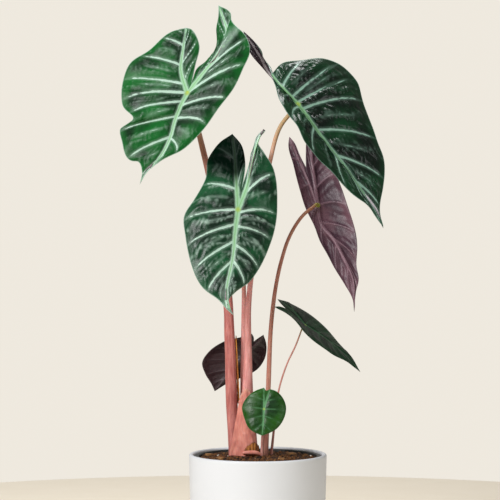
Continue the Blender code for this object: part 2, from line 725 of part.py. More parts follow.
def build_soil():
    """The root ball's soil, with the spaces that the corm, roots and petioles take up."""
    bottom = POT_FLOOR + GAP + NURSERY_WALL + GAP
    inset = NURSERY_WALL + GAP
    mid = (SOIL_MOUND_RADIUS + nursery_outer_radius(SOIL_EDGE) - inset) / 2
    profile = [
        (0.0, SOIL_TOP),
        (SOIL_MOUND_RADIUS * 0.6, SOIL_TOP - SOIL_MOUND * 0.1),
        (SOIL_MOUND_RADIUS, SOIL_TOP - SOIL_MOUND * 0.6),
        (mid, SOIL_EDGE + SOIL_MOUND * 0.08),
        (nursery_outer_radius(SOIL_EDGE) - inset, SOIL_EDGE),
        (nursery_outer_radius(bottom) - inset, bottom),
        (0.0, bottom),
    ]
    soil = add_turned("potting_soil", profile, SOIL_BROWN)
    centre = (*CORM_CENTRE, CORM_LEVEL)
    halves = (CORM_HALF_WIDTH + GAP, CORM_HALF_DEPTH + GAP, CORM_HALF_HEIGHT + GAP)
    cut(soil, add_ball("corm_space", centre, halves, SOIL_BROWN, cutter_collection))
    for name, petiole in PETIOLES.items():
        radius = petiole["radii"][0][1] * MM
        x, y = (value * MM for value in petiole["foot"])
        low = foot_height(x, y, radius) - CUT_OVER
        high = SOIL_TOP + 2 * CUT_OVER
        around = (radius + GAP) / math.cos(math.pi / HOLE_SIDES)
        cut_cylinder(soil, f"well_{name}", x, y, low, high, around)
    for number in range(ROOT_COUNT):
        places, radii = root_line(number, grow=2 * GAP)
        tunnel = add_tube(f"tunnel_{number + 1}", places, radii, SOIL_BROWN, cutter_collection)
        cut(soil, tube_as_mesh(tunnel))


# ---- sheaths, and what lies on the soil -------------------------------------------------------
#
# A sheath is a thin curved sheet between two lines of places, (x, y, z) in millimetres, where
# z is counted from the top of the soil. The first line is its lower edge.

SHEATHS = {
    "sheath_pink": {
        "low": [(-29, -5, 0.3), (-24, -6.6, 0.3), (-17, -12, 0.3), (-10.5, -15.4, 0.3),
                (-3, -13.4, 0.3), (0.3, -8, 0.3)],
        "high": [(-20, -7.8, 50), (-18.5, -8.9, 58), (-15.5, -10.8, 66), (-11.5, -11.6, 70),
                 (-7.5, -10.8, 65), (-4.2, -8.4, 54)],
        "bow": -0.6,
        "material": SHEATH_PINK,
    },
    "sheath_dry": {
        "low": [(-20.4, 6.4, 52), (-19.2, 4.6, 52), (-18.4, 2.6, 52)],
        "high": [(-22.6, 4.2, 122), (-22.3, 3.8, 122.5), (-22.0, 3.4, 122)],
        "bow": 0.0,
        "material": SHEATH_DRY,
    },
    "sheath_collar": {
        "low": [(-14.5, -16.2, 2), (-10, -18, 1.5), (-3.5, -16.2, 1), (1.4, -11.4, 1)],
        "high": [(-13, -16.0, 9), (-9.5, -17.2, 13), (-3.5, -15.6, 16), (1.2, -10.6, 11)],
        "bow": -0.8,
        "material": SHEATH_DRY,
    },
}
AERIAL_ROOT = [(-15, -20.5, 4.5), (-11, -21.4, 5.2), (-6, -21.2, 5.4), (-1, -19.8, 4.6),
               (2.5, -18, 3.0)]

# Bark chips: place on the soil (x, y), length and width in millimetres, and turn in degrees.
CHIPS = [
    (-50, 10, 9, 5, 20),
    (-38, -24, 8, 6, 70),
    (34, 16, 10, 6, -30),
    (24, -30, 8, 5, 10),
]


def add_sheath(name, low, high, bow, material):
    """A sheath's sheet, bowed between its lower and upper edges, with its thickness."""
    columns = 3 * len(low)
    lower = smooth_line(low, np.linspace(0.0, 1.0, columns))
    upper = smooth_line(high, np.linspace(0.0, 1.0, columns))
    sheet = bmesh.new()
    rows = []
    for share in np.linspace(0.0, 1.0, 6):
        line = lower + (upper - lower) * share
        line[:, 1] += bow * math.sin(math.pi * share)
        line[:, 2] += SOIL_TOP / MM
        rows.append([sheet.verts.new(place_on_sheet) for place_on_sheet in line * MM])
    for below, above in zip(rows, rows[1:]):
        for j in range(columns - 1):
            sheet.faces.new((below[j], below[j + 1], above[j + 1], above[j]))
    bmesh.ops.triangulate(sheet, faces=sheet.faces)
    mesh = bpy.data.meshes.new(name)
    sheet.to_mesh(mesh)
    sheet.free()
    made = add_object(name, mesh, material)
    thickness = made.modifiers.new("thickness", "SOLIDIFY")
    thickness.thickness = SHEATH_THICKNESS
    thickness.offset = 0.0
    thickness.use_even_offset = False


def soil_level(x, y):
    """The highest that the soil can be at a place, from the mound at its middle."""
    out = math.hypot(x, y)
    if out < SOIL_MOUND_RADIUS:
        return SOIL_TOP
    edge = nursery_outer_radius(SOIL_EDGE)
    share = (edge - out) / (edge - SOIL_MOUND_RADIUS)
    return SOIL_EDGE + SOIL_MOUND * 0.4 * share


def add_chip(number, chip):
    """A bark chip: a flat block with its corners shifted and its edges rounded."""
    x, y, length, width, turn = chip
    shift = np.random.default_rng(number)
    block = bmesh.new()
    bmesh.ops.create_cube(block, size=1.0)
    for vert in block.verts:
        grow = 1.0 + shift.uniform(-0.25, 0.0)
        vert.co.x *= length * MM * grow
        vert.co.y *= width * MM * (1.0 + shift.uniform(-0.25, 0.0))
        vert.co.z *= CHIP_THICKNESS * (1.0 + shift.uniform(-0.2, 0.0))
    bmesh.ops.bevel(block, geom=block.edges, offset=0.0004, segments=1, affect="EDGES")
    bmesh.ops.triangulate(block, faces=block.faces)
    mesh = bpy.data.meshes.new(f"bark_chip_{number}")
    block.to_mesh(mesh)
    block.free()
    made = add_object(f"bark_chip_{number}", mesh, BARK_TAN)
    reach = length * MM / 2
    x *= MM
    y *= MM
    inward = max(0.0, 1 - reach / math.hypot(x, y))
    level = soil_level(x * inward, y * inward)
    made.location = (x, y, level + GAP + CHIP_THICKNESS / 2)
    made.rotation_euler = (0.0, 0.0, math.radians(turn))


def build_dressing():
    """The sheaths round the stems' feet, the root above the soil, and the bark chips."""
    for name, sheath in SHEATHS.items():
        add_sheath(name, sheath["low"], sheath["high"], sheath["bow"], sheath["material"])
    along = np.linspace(0.0, 1.0, ROOT_STEPS + 1)
    line = smooth_line(AERIAL_ROOT, along) * MM
    line[:, 2] += SOIL_TOP
    swell = np.sin(along * math.pi)
    add_tube("aerial_root", line, AERIAL_ROOT_RADIUS * (0.75 + 0.25 * swell), SHEATH_PINK)
    for number, chip in enumerate(CHIPS, start=1):
        add_chip(number, chip)


build_cover_pot()
build_nursery_pot()
build_leaves()
build_root_stock()
build_soil()
build_dressing()
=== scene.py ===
# %% [markdown]
# # A potted alocasia
# An alocasia is grown for its leaves: dark, glossy, arrow-shaped blades with pale veins above and
# purple undersides, each on one long pink stalk, the petiole. The stalks rise from a corm in the
# soil. This lesson builds the plant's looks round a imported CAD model, which already holds every
# piece at its real size. The CAD pieces are plain, so each visible one gets a finer mesh that
# stands for it, and a material made of nodes.

# %% load the frame
import math
from functools import partial

import bpy
import numpy as np
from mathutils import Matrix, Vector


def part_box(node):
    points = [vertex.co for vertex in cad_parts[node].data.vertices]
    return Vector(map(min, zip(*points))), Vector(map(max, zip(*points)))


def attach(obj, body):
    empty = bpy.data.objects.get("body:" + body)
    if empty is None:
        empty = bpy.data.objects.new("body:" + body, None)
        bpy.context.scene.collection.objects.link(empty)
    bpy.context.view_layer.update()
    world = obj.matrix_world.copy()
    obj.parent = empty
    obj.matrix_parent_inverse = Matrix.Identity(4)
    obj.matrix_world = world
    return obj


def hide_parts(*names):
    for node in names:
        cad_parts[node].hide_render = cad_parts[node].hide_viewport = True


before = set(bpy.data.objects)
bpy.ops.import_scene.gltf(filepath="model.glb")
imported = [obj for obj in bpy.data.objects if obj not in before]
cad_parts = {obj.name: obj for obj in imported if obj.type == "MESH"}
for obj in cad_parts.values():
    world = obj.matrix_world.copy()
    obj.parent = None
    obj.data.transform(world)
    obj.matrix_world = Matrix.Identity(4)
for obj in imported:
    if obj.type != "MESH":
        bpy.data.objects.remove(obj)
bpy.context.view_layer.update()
MM = 0.001
BODY = "root"

# %% [markdown]
# ## Camera, floor and light
# The plant is tall and thin, so it is seen with a long lens from almost two metres away, level
# with its middle. A long lens keeps the leaves from looking larger because they are nearer. The
# light is a large soft panel at the front left, a weaker one at the right, and a pale sky that
# fills the shadows, so the glossy blades show broad, soft highlights.

# %% camera
CAMERA_PLACE = (-0.008, -1.82, 0.337)
CAMERA_LENS = 128.9           # mm
SENSOR_WIDTH = 36.0           # mm

camera_data = bpy.data.cameras.new("camera")
camera_data.lens = CAMERA_LENS
camera_data.sensor_width = SENSOR_WIDTH
camera = bpy.data.objects.new("camera", camera_data)
camera.location = CAMERA_PLACE
camera.rotation_euler = (math.pi / 2, 0.0, 0.0)
bpy.context.scene.collection.objects.link(camera)
bpy.context.scene.camera = camera
bpy.context.scene.view_settings.view_transform = "Standard"
print("camera looks level along +Y from", CAMERA_PLACE)


# %% [markdown]
# ## Colours and nodes
# Colours are written as sRGB hex values, as on a paint chart, and shaders want linear light, so one
# function turns them. One small function adds a node with its settings and its links.

# %% helpers for materials
COLOURS = {"data_type": "RGBA"}                     # a Mix node that mixes colours
SOFT = {"interpolation_type": "SMOOTHSTEP"}         # a Map Range node that eases in and out


def tint(hex_colour):
    """Linear RGBA from sRGB hex: (c/12.92) when dark, otherwise ((c + 0.055)/1.055)^2.4."""
    values = np.array([int(hex_colour[i:i + 2], 16) / 255 for i in (1, 3, 5)])
    linear = np.where(values <= 0.04045, values / 12.92, ((values + 0.055) / 1.055) ** 2.4)
    return (*linear.tolist(), 1.0)


def add_node(tree, kind, inputs=(), give=0, **settings):
    """A node with its settings; gives the output by its name or number.

    `inputs` are values by name or number, or a plain tuple in order. A socket is linked, and
    anything else is the input's own value.
    """
    node = tree.nodes.new("ShaderNode" + kind)
    for key, value in settings.items():
        setattr(node, key, value)
    pairs = inputs.items() if isinstance(inputs, dict) else enumerate(inputs)
    for key, value in pairs:
        if isinstance(value, bpy.types.NodeSocket):
            tree.links.new(value, node.inputs[key])
        else:
            node.inputs[key].default_value = value
    return node.outputs[give]


def start_material(name, **constants):
    """An empty material's tree and its Principled shader, with its constant sockets set."""
    material = bpy.data.materials.new(name)
    material.use_nodes = True
    tree = material.node_tree
    shader = tree.nodes["Principled BSDF"]
    for key, value in constants.items():
        shader.inputs[key.replace("_", " ")].default_value = value
    return material, tree, shader


def finish_shader(tree, shader, colour, relief, strength, depth, roughness=None):
    """Links a material's colour, its roughness and the bump of its relief, `depth` in mm deep."""
    tree.links.new(colour, shader.inputs["Base Color"])
    if roughness is not None:
        tree.links.new(roughness, shader.inputs["Roughness"])
    bump = add_node(tree, "Bump", {"Strength": strength, "Distance": depth * MM, "Height": relief})
    tree.links.new(bump, shader.inputs["Normal"])


print("a mid grey in linear light:", round(tint("#808080")[0], 3))

# %% floor and lights
floor_paint, tree, shader = start_material("floor_matt_paint", Roughness=0.8)
speckle = add_node(tree, "TexNoise", {"Scale": 40.0, "Detail": 2.0}, "Fac")
shade = add_node(tree, "Mix", {0: speckle, 6: tint("#f0e6d4"), 7: tint("#f5ecdc")}, 2, **COLOURS)
tree.links.new(shade, shader.inputs["Base Color"])

FLOOR_RADIUS = 0.86
FLOOR_SIDES = 128
turn = np.linspace(0.0, 2 * math.pi, FLOOR_SIDES + 1)[:-1]
rim = np.column_stack((FLOOR_RADIUS * np.cos(turn), FLOOR_RADIUS * np.sin(turn), 0 * turn))
floor_mesh = bpy.data.meshes.new("floor")
floor_mesh.from_pydata(rim.tolist(), [], [list(range(FLOOR_SIDES))])
floor_mesh.materials.append(floor_paint)
floor = bpy.data.objects.new("floor", floor_mesh)
bpy.context.scene.collection.objects.link(floor)

SKY_LIGHT = 0.30              # what the sky gives the plant
SKY_SEEN = 0.91               # how bright the camera sees it
world = bpy.data.worlds.new("pale_room")
world.use_nodes = True
sky = world.node_tree.nodes["Background"].inputs
sky["Color"].default_value = tint("#f9f3e8")
seen = add_node(world.node_tree, "LightPath", give="Is Camera Ray")
glow = add_node(world.node_tree, "MapRange",
                {"Value": seen, "To Min": SKY_LIGHT, "To Max": SKY_SEEN})
world.node_tree.links.new(glow, sky["Strength"])
bpy.context.scene.world = world

AIM = (0.0, 0.0, 0.35)        # all three lights point at the middle of the plant

# Each light: name, place, size across, watts.
for name, place, size, watts in (
    ("key_panel", (-1.2, -1.4, 1.3), 1.1, 47.0),
    ("fill_panel", (1.3, -1.2, 0.6), 0.7, 4.0),
    ("top_panel", (0.2, 0.2, 1.8), 0.6, 14.0),
):
    light_data = bpy.data.lights.new(name, "AREA")
    light_data.size = size
    light_data.energy = watts
    light = bpy.data.objects.new(name, light_data)
    light.location = place
    towards = Vector(AIM) - Vector(place)
    light.rotation_euler = towards.to_track_quat("-Z", "Y").to_euler()
    bpy.context.scene.collection.objects.link(light)
print("one floor, three soft lights and a pale sky")


# %% [markdown]
# ## Surfaces from grids
# Every new piece starts as a grid of places: rows one way, columns the other, worked out as whole
# arrays. The grid is then cut into triangles, and places that fall together are made one, which
# closes seams and tips. A triangle's corners run so that it faces along (row step) x (column step).

# %% helpers for meshes
def grid_triangles(rows, columns, start=0, flip=False):
    """Two triangles for each cell of a grid of vertices that are numbered row by row."""
    corner = start + (np.arange(rows - 1)[:, None] * columns + np.arange(columns - 1)).ravel()
    below, beside, across = corner + columns, corner + 1, corner + columns + 1
    triangles = np.concatenate((np.stack((corner, below, across), 1),
                                np.stack((corner, across, beside), 1)))
    return triangles[:, ::-1] if flip else triangles


def weld(places, triangles, values=None, apart=2e-6):
    """Places closer than about `apart` made one; triangles that lose a side are dropped."""
    keys = np.round(places / apart).astype(np.int64)
    _, first, number = np.unique(keys, axis=0, return_index=True, return_inverse=True)
    triangles = number.reshape(-1)[triangles]
    a, b, c = triangles.T
    triangles = triangles[(a != b) & (b != c) & (c != a)]
    values = {key: value[first] for key, value in (values or {}).items()}
    return places[first], triangles, values


def weld_grid(places):
    """A grid in mm that meets itself at its seam and poles, as one closed surface in metres."""
    triangles = grid_triangles(*places.shape[:2])
    return weld(places.reshape(-1, 3) * MM, triangles, apart=1e-6)[:2]


def vertex_normals(places, triangles):
    """The normal at each vertex: the sum of its triangles' area vectors, made unit length."""
    a, b, c = (places[triangles[:, i]] for i in range(3))
    area = np.cross(b - a, c - a)
    total = np.stack([np.bincount(triangles.ravel(), np.repeat(area[:, axis], 3), len(places))
                      for axis in range(3)], 1)
    return total / np.maximum(np.linalg.norm(total, axis=1), 1e-20)[:, None]


print("triangles of a grid of 3 x 3 places:", len(grid_triangles(3, 3)))


# %% from triangles to a piece
def make_piece(name, places, triangles, material, values=None):
    """An object at the origin from triangles, with one number per vertex for each value."""
    mesh = bpy.data.meshes.new(name)
    mesh.vertices.add(len(places))
    mesh.vertices.foreach_set("co", places.astype(np.float32).ravel())
    mesh.loops.add(triangles.size)
    mesh.loops.foreach_set("vertex_index", triangles.astype(np.int32).ravel())
    mesh.polygons.add(len(triangles))
    mesh.polygons.foreach_set("loop_start", np.arange(0, triangles.size, 3, dtype=np.int32))
    mesh.polygons.foreach_set("loop_total", np.full(len(triangles), 3, dtype=np.int32))
    mesh.update(calc_edges=True)
    mesh.validate()
    mesh.shade_smooth()
    for key, value in (values or {}).items():
        store = mesh.attributes.new(key, "FLOAT", "POINT")
        store.data.foreach_set("value", value.astype(np.float32))
    mesh.materials.append(material)
    piece = bpy.data.objects.new(name, mesh)
    bpy.context.scene.collection.objects.link(piece)
    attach(piece, BODY)
    return piece


# %% [markdown]
# ## Lines and noise
# A stem or a margin is drawn with a few points, and a smooth curve goes through them. What grows
# is never quite even, so soft noise bends it. The noise is a sum of plane waves, which numpy works
# out for a whole grid at once, and its seed makes it the same on every run.

# %% smooth lines, noise and balls
def smooth_line(points, fractions):
    """Places along the smooth curve through the points, by fractions of its length.

    Each stretch is a cubic that leaves its ends along the chord between their neighbours.
    """
    points = np.asarray(points, dtype=float)
    steps = np.linalg.norm(np.diff(points, axis=0), axis=1)
    knots = np.concatenate(([0.0], np.cumsum(steps)))
    slopes = np.gradient(points, knots, axis=0)
    t = np.linspace(0.0, 1.0, 17)[:-1, None]
    stretches = []
    for i, step in enumerate(steps):
        stretches.append(
            (2 * t**3 - 3 * t**2 + 1) * points[i]
            + (t**3 - 2 * t**2 + t) * slopes[i] * step
            + (3 * t**2 - 2 * t**3) * points[i + 1]
            + (t**3 - t**2) * slopes[i + 1] * step
        )
    dense = np.vstack(stretches + [points[-1:]])
    run = np.concatenate(([0.0], np.cumsum(np.linalg.norm(np.diff(dense, axis=0), axis=1))))
    wanted = np.asarray(fractions) * run[-1]
    return np.column_stack([np.interp(wanted, run, dense[:, axis]) for axis in range(3)])


def ease(low, high, value):
    """0 below low, 1 above high, and 3t^2 - 2t^3 between them."""
    t = np.clip((value - low) / (high - low), 0.0, 1.0)
    return t * t * (3 - 2 * t)


def waves(places, length, seed, count=14):
    """A soft noise of about -1 to 1: plane waves of one length in random directions, added."""
    random = np.random.default_rng(seed)
    towards = random.normal(size=(count, places.shape[-1]))
    towards /= np.linalg.norm(towards, axis=1)[:, None]
    pitch = 2 * math.pi / (length * random.uniform(0.75, 1.3, count))
    phase = random.uniform(0.0, 2 * math.pi, count)
    return np.cos(places @ (towards * pitch[:, None]).T + phase).sum(-1) * math.sqrt(2 / count) / 1.6


def ball_grid(rows, columns):
    """A unit ball and its polar angle p, pole to pole: (sin p cos a, sin p sin a, cos p)."""
    polar = np.linspace(0.0, math.pi, rows)[:, None]
    angle = np.linspace(0.0, 2 * math.pi, columns)[None, :]
    angle[0, -1] = 0.0
    ball = np.stack((np.sin(polar) * np.cos(angle), np.sin(polar) * np.sin(angle),
                     np.cos(polar) + 0 * angle), 2)
    return ball, polar


print("a smooth step, 0 to 1:", ease(0.0, 1.0, np.linspace(0.0, 1.0, 5)).round(2).tolist())


# %% [markdown]
# ## The leaves as drawn
# A leaf has a rib from the joint, where its petiole meets it, to its tip, and two basal lobes
# behind the joint, each with its own vein. It is drawn as it is seen from the front, in
# millimetres from its joint: (x to the right, z up), with a third number where a place is pushed
# back. These are the same places that the CAD blades are made from. `lean` says how much
# further back the blade lies for each millimetre to the right and up, `fold` turns a half back
# along its vein, and `puff` swells it. `opposite` is the share of the outer margin that lies
# beside the lobe, and `sweep` says how far forward the side veins run. `veins` are the places of
# the side veins along the lobe (0 to 1, from its tip to the joint) and the rib (1 to 2).
#
# Ends that lines share are written once. The rib starts and the lobe's vein ends at the joint,
# (0, 0). The outer margin runs from the lobe's tip to the leaf's tip, and the inner one from the
# lobe's tip to the notch.

# %% the drawn leaves
LEAVES = {
    "upper_left": {
        "joint": (-72, 6, 497), "lean": (-0.28, 0.40), "notch": (5, 13),
        "rib": [(-6, -12), (-12, -28), (-17, -47), (-29, -69), (-41, -81), (-47, -94)],
        "left": {
            "lobe": [(-2, 71, 6), (-5, 47), (-7, 25)],
            "outer": [(-13, 68), (-40, 47), (-60, 30), (-68, 6), (-67, -11), (-55, -27, -5),
                      (-68, -37, 4), (-66, -50), (-56, -70), (-49, -71), (-45, -82)],
            "inner": [(4, 68), (12, 50), (8, 29)],
            "fold": -0.20, "puff": 0.06, "opposite": 0.42, "sweep": (1.2, 1.8),
            "veins": (0.3, 0.58, 0.86, 1.0, 1.09, 1.25, 1.46, 1.72),
        },
        "right": {
            "lobe": [(31, 96, 18), (36, 82, 13), (40, 60, 3), (30, 40), (13, 17)],
            "outer": [(41, 90, 14), (48, 72), (60, 59), (64, 43), (57, 25), (46, 2), (31, -18),
                      (15, -41), (-3, -58), (-28, -72), (-40, -82)],
            "inner": [(31, 84, 15), (29, 70, 9), (29, 50, 8), (20, 35, 6), (10, 27, 4)],
            "fold": 0.10, "puff": 0.06, "opposite": 0.31, "sweep": (1.3, 1.8),
            "veins": (0.45, 0.8, 1.0, 1.14, 1.27, 1.47, 1.72),
        },
    },
    "front": {
        "joint": (-20, -45, 377), "lean": (0.08, 0.40), "notch": (5, 26),
        "rib": [(-3, -25), (-4, -40), (-6, -54), (-10, -73), (-11, -87), (-4, -103)],
        "left": {
            "lobe": [(-6, 78, 14), (-4, 62, 8), (-2, 33)],
            "outer": [(-18, 69, 14), (-30, 52, 10), (-33, 32, 4), (-44, 10), (-54, -8),
                      (-52, -26), (-46, -53), (-34, -77), (-18, -89), (-9, -99)],
            "inner": [(3, 67, 12), (7, 51, 8), (7, 39, 2)],
            "fold": 0.12, "puff": 0.08, "opposite": 0.46, "sweep": (1.8, 1.7),
            "veins": (0.38, 0.76, 1.0, 1.14, 1.3, 1.48, 1.75),
        },
        "right": {
            "lobe": [(26, 84, 26), (20, 70, 14), (14, 47), (8, 21)],
            "outer": [(20, 70, 16), (26, 58, 8), (36, 42), (39, 20), (39, -2), (36, -20),
                      (27, -46), (12, -71), (-3, -82), (-8, -88)],
            "inner": [(19, 76, 19), (15, 62, 11), (10, 43, 4)],
            "fold": 0.30, "puff": 0.08, "opposite": 0.40, "sweep": (2.6, 1.8),
            "veins": (0.45, 0.84, 1.03, 1.16, 1.33, 1.48, 1.74),
        },
    },
    "upper_right": {
        "joint": (41, 12, 486), "lean": (0.30, 0.36), "notch": (-9, 14, 6),
        "rib": [(13, -18), (28, -39), (47, -63), (64, -88), (80, -110), (86, -127)],
        "left": {
            "lobe": [(-56, 82, 44), (-40, 57, 36), (-25, 29, 18)],
            "outer": [(-42, 67, 34), (-33, 47, 24), (-25, 25, 8), (-19, 1, -6), (-8, -16, -12),
                      (11, -46, -14), (37, -75, -10), (58, -97, -6), (74, -111, -2)],
            "inner": [(-49, 58, 40), (-36, 41, 32), (-24, 27, 26)],
            "fold": -0.55, "puff": 0.05, "opposite": 0.42, "sweep": (1.5, 1.8),
            "veins": (0.45, 0.8, 1.02, 1.18, 1.4, 1.6, 1.8),
        },
        "right": {
            "lobe": [(-27, 32, 8), (-19, 21, 2)],
            "outer": [(-15, 44, 6), (5, 48), (29, 50), (46, 45, 2), (63, 27, 2), (71, -2),
                      (81, -34), (89, -60), (87, -85), (83, -110)],
            "inner": [(-23, 23, 10)],
            "fold": 0.05, "puff": 0.10, "opposite": 0.38, "sweep": (1.4, 1.8),
            "veins": (0.45, 0.78, 0.95, 1.04, 1.21, 1.42, 1.62, 1.82),
        },
    },
    "right_hanging": {
        "joint": (62, 30, 383), "lean": (-0.30, 0.16), "notch": (-12, 40, -3),
        "rib": [(2, -17), (17, -37), (26, -55), (35, -75), (36, -91), (36, -109)],
        "left": {
            "lobe": [(-29, 72, -6), (-19, 47, -4), (-8, 22, -2)],
            "outer": [(-30, 65, -7), (-25, 42, -8), (-15, 4, -8), (-3, -23, -8), (2, -38, -8),
                      (13, -59, -6), (28, -83, -4), (35, -98, -2)],
            "inner": [(-24, 66, -5), (-18, 52, -4)],
            "fold": 0.10, "puff": -0.05, "opposite": 0.45, "sweep": (1.4, 1.6),
            "veins": (0.35, 0.7, 1.0, 1.18, 1.38, 1.6, 1.8),
        },
        "right": {
            "lobe": [(-3, 86, 8), (-6, 56, 3), (-3, 25, 1)],
            "outer": [(8, 79, 6), (16, 46, 2), (26, 13, 0), (35, -14), (40, -43, 2), (39, -61, 4),
                      (41, -76, 2), (38, -89)],
            "inner": [(-10, 73, 4), (-12, 53, -1)],
            "fold": 0.15, "puff": -0.10, "opposite": 0.42, "sweep": (2.0, 1.8),
            "veins": (0.3, 0.55, 0.8, 1.0, 1.15, 1.32, 1.52, 1.75),
        },
    },
    "narrow": {
        "joint": (48, -8, 261), "lean": (0.45, 0.40), "notch": (-20, 17),
        "rib": [(21, -14), (41, -31), (56, -48)],
        "left": {
            "lobe": [(-32, 19, -6), (-17, 12, -3)],
            "outer": [(-17, 11, -14), (-1, -7, -22), (24, -27, -18), (45, -38, -8)],
            "inner": [(-26, 19, -3)],
            "fold": 0.00, "puff": 0.05, "opposite": 0.36, "sweep": (1.2, 1.5),
            "veins": (0.5, 1.0, 1.2, 1.42, 1.66),
        },
        "right": {
            "lobe": [(-28, 26, 12), (-15, 17, 6)],
            "outer": [(-15, 22, 18), (5, 10, 20), (19, -2, 18), (34, -18, 14), (48, -33, 6)],
            "inner": [(-25, 22, 6)],
            "fold": 0.00, "puff": 0.05, "opposite": 0.36, "sweep": (1.2, 1.5),
            "veins": (0.5, 1.0, 1.2, 1.42, 1.66),
        },
    },
    "round": {
        "joint": (6, -30, 178), "lean": (0.0, 0.25), "notch": (2, 18),
        "rib": [(-1, -14), (-2, -26)],
        "left": {
            "lobe": [(0, 21), (0, 10)],
            "outer": [(-8, 18), (-17, 11), (-22, 2), (-20, -9), (-14, -20), (-7, -24)],
            "inner": [(1, 19.5)],
            "fold": 0.15, "puff": 0.08, "opposite": 0.42, "sweep": (1.2, 1.5),
            "veins": (0.6, 1.0, 1.25, 1.55),
        },
        "right": {
            "lobe": [(6, 19.5), (3, 10)],
            "outer": [(11, 18), (18, 12), (22, 2), (20, -9), (13, -19), (4, -24)],
            "inner": [(4, 18.5)],
            "fold": 0.15, "puff": 0.08, "opposite": 0.42, "sweep": (1.2, 1.5),
            "veins": (0.6, 1.0, 1.25, 1.55),
        },
    },
    "rear": {
        "joint": (-12, 45, 231), "lean": (0.10, -0.35), "notch": (8, 11),
        "rib": [(-10, -13), (-22, -28), (-33, -42)],
        "left": {
            "lobe": [(6, 19), (4, 9)],
            "outer": [(-7, 15), (-23, 11), (-38, 1), (-46, -12), (-43, -23), (-36, -35)],
            "inner": [(8, 15)],
            "fold": 0.10, "puff": -0.08, "opposite": 0.40, "sweep": (1.2, 1.5),
            "veins": (0.5, 1.0, 1.22, 1.45, 1.7),
        },
        "right": {
            "lobe": [(18, 18), (10, 8)],
            "outer": [(21, 8), (20, -6), (13, -18), (0, -26), (-18, -33)],
            "inner": [(12, 14)],
            "fold": 0.25, "puff": -0.08, "opposite": 0.40, "sweep": (1.2, 1.5),
            "veins": (0.5, 1.0, 1.22, 1.45, 1.7),
        },
    },
}

BACK_SHOWS = ("right_hanging", "rear")   # these two turn their undersides to the front
print("leaves drawn:", ", ".join(LEAVES))

# %% [markdown]
# ## A blade's surface
# Half a blade is a sheet between its vein line and its margin, and a narrower sheet lies between
# the lobe's vein and the notch. On a living blade the tissue grows faster than the veins, so it
# swells up between them and lies in long pleats. Finer cross veins pull small wrinkles into each
# swelling. Above, the veins lie level with the surface, and underneath they stand out as ribs.

# %% shape of the blades
BLADE_THICKNESS = 0.55        # mm
CELL = 1.1                    # mm, size of a grid cell
SWELLING = 1.7                # mm, how high a roomy swelling stands
ROOMY = 14.0                  # mm, between side veins that leave room for a full swelling
PLEATS = 2.4                  # pleats from one side vein to the next
WRINKLE = 6.5                 # mm, between the wrinkles across a swelling
RIPPLE = 1.2                  # mm, how far the margin waves
BIG_RIB, SIDE_RIB = 1.15, 0.5  # mm, how far the ribs stand out underneath
VEIN_BOW = 0.05               # how far a side vein's outer end bends forward, in stations
RIB_ROWS = 1.15               # rows for each cell's length along the rib
INNER_COLUMNS = 9             # across the narrow patch beside the notch
FAR = 1e3                     # mm, stands for no vein on that side


def as_place(point, lean):
    """A drawn point as (x, y, z): its depth is the leaf's lean, plus its own push."""
    x, z = point[:2]
    push = point[2] if len(point) > 2 else 0.0
    return (x, lean[0] * x + lean[1] * z + push, z)


def blade_lines(leaf, side):
    """One half's rib, lobe vein, outer margin and inner margin as places, with their shared ends."""
    half, joint = leaf[side], (0, 0)
    leaf_tip, lobe_tip = leaf["rib"][-1], half["lobe"][0]
    lines = ([joint, *leaf["rib"]], [*half["lobe"], joint],
             [lobe_tip, *half["outer"], leaf_tip], [lobe_tip, *half["inner"], leaf["notch"]])
    return ([as_place(point, leaf["lean"]) for point in line] for line in lines)


def square_distance(reach, line, axes=(0, 1, 2)):
    """The length of reach measured square to line: |reach x line| / |line|."""
    flat = np.zeros(3)
    flat[list(axes)] = 1.0
    crossed = np.linalg.norm(np.cross(reach * flat, line * flat), axis=-1)
    distance = crossed / np.maximum(np.linalg.norm(line * flat, axis=-1), 1e-9)
    return distance[:, None] if distance.ndim == 1 else distance


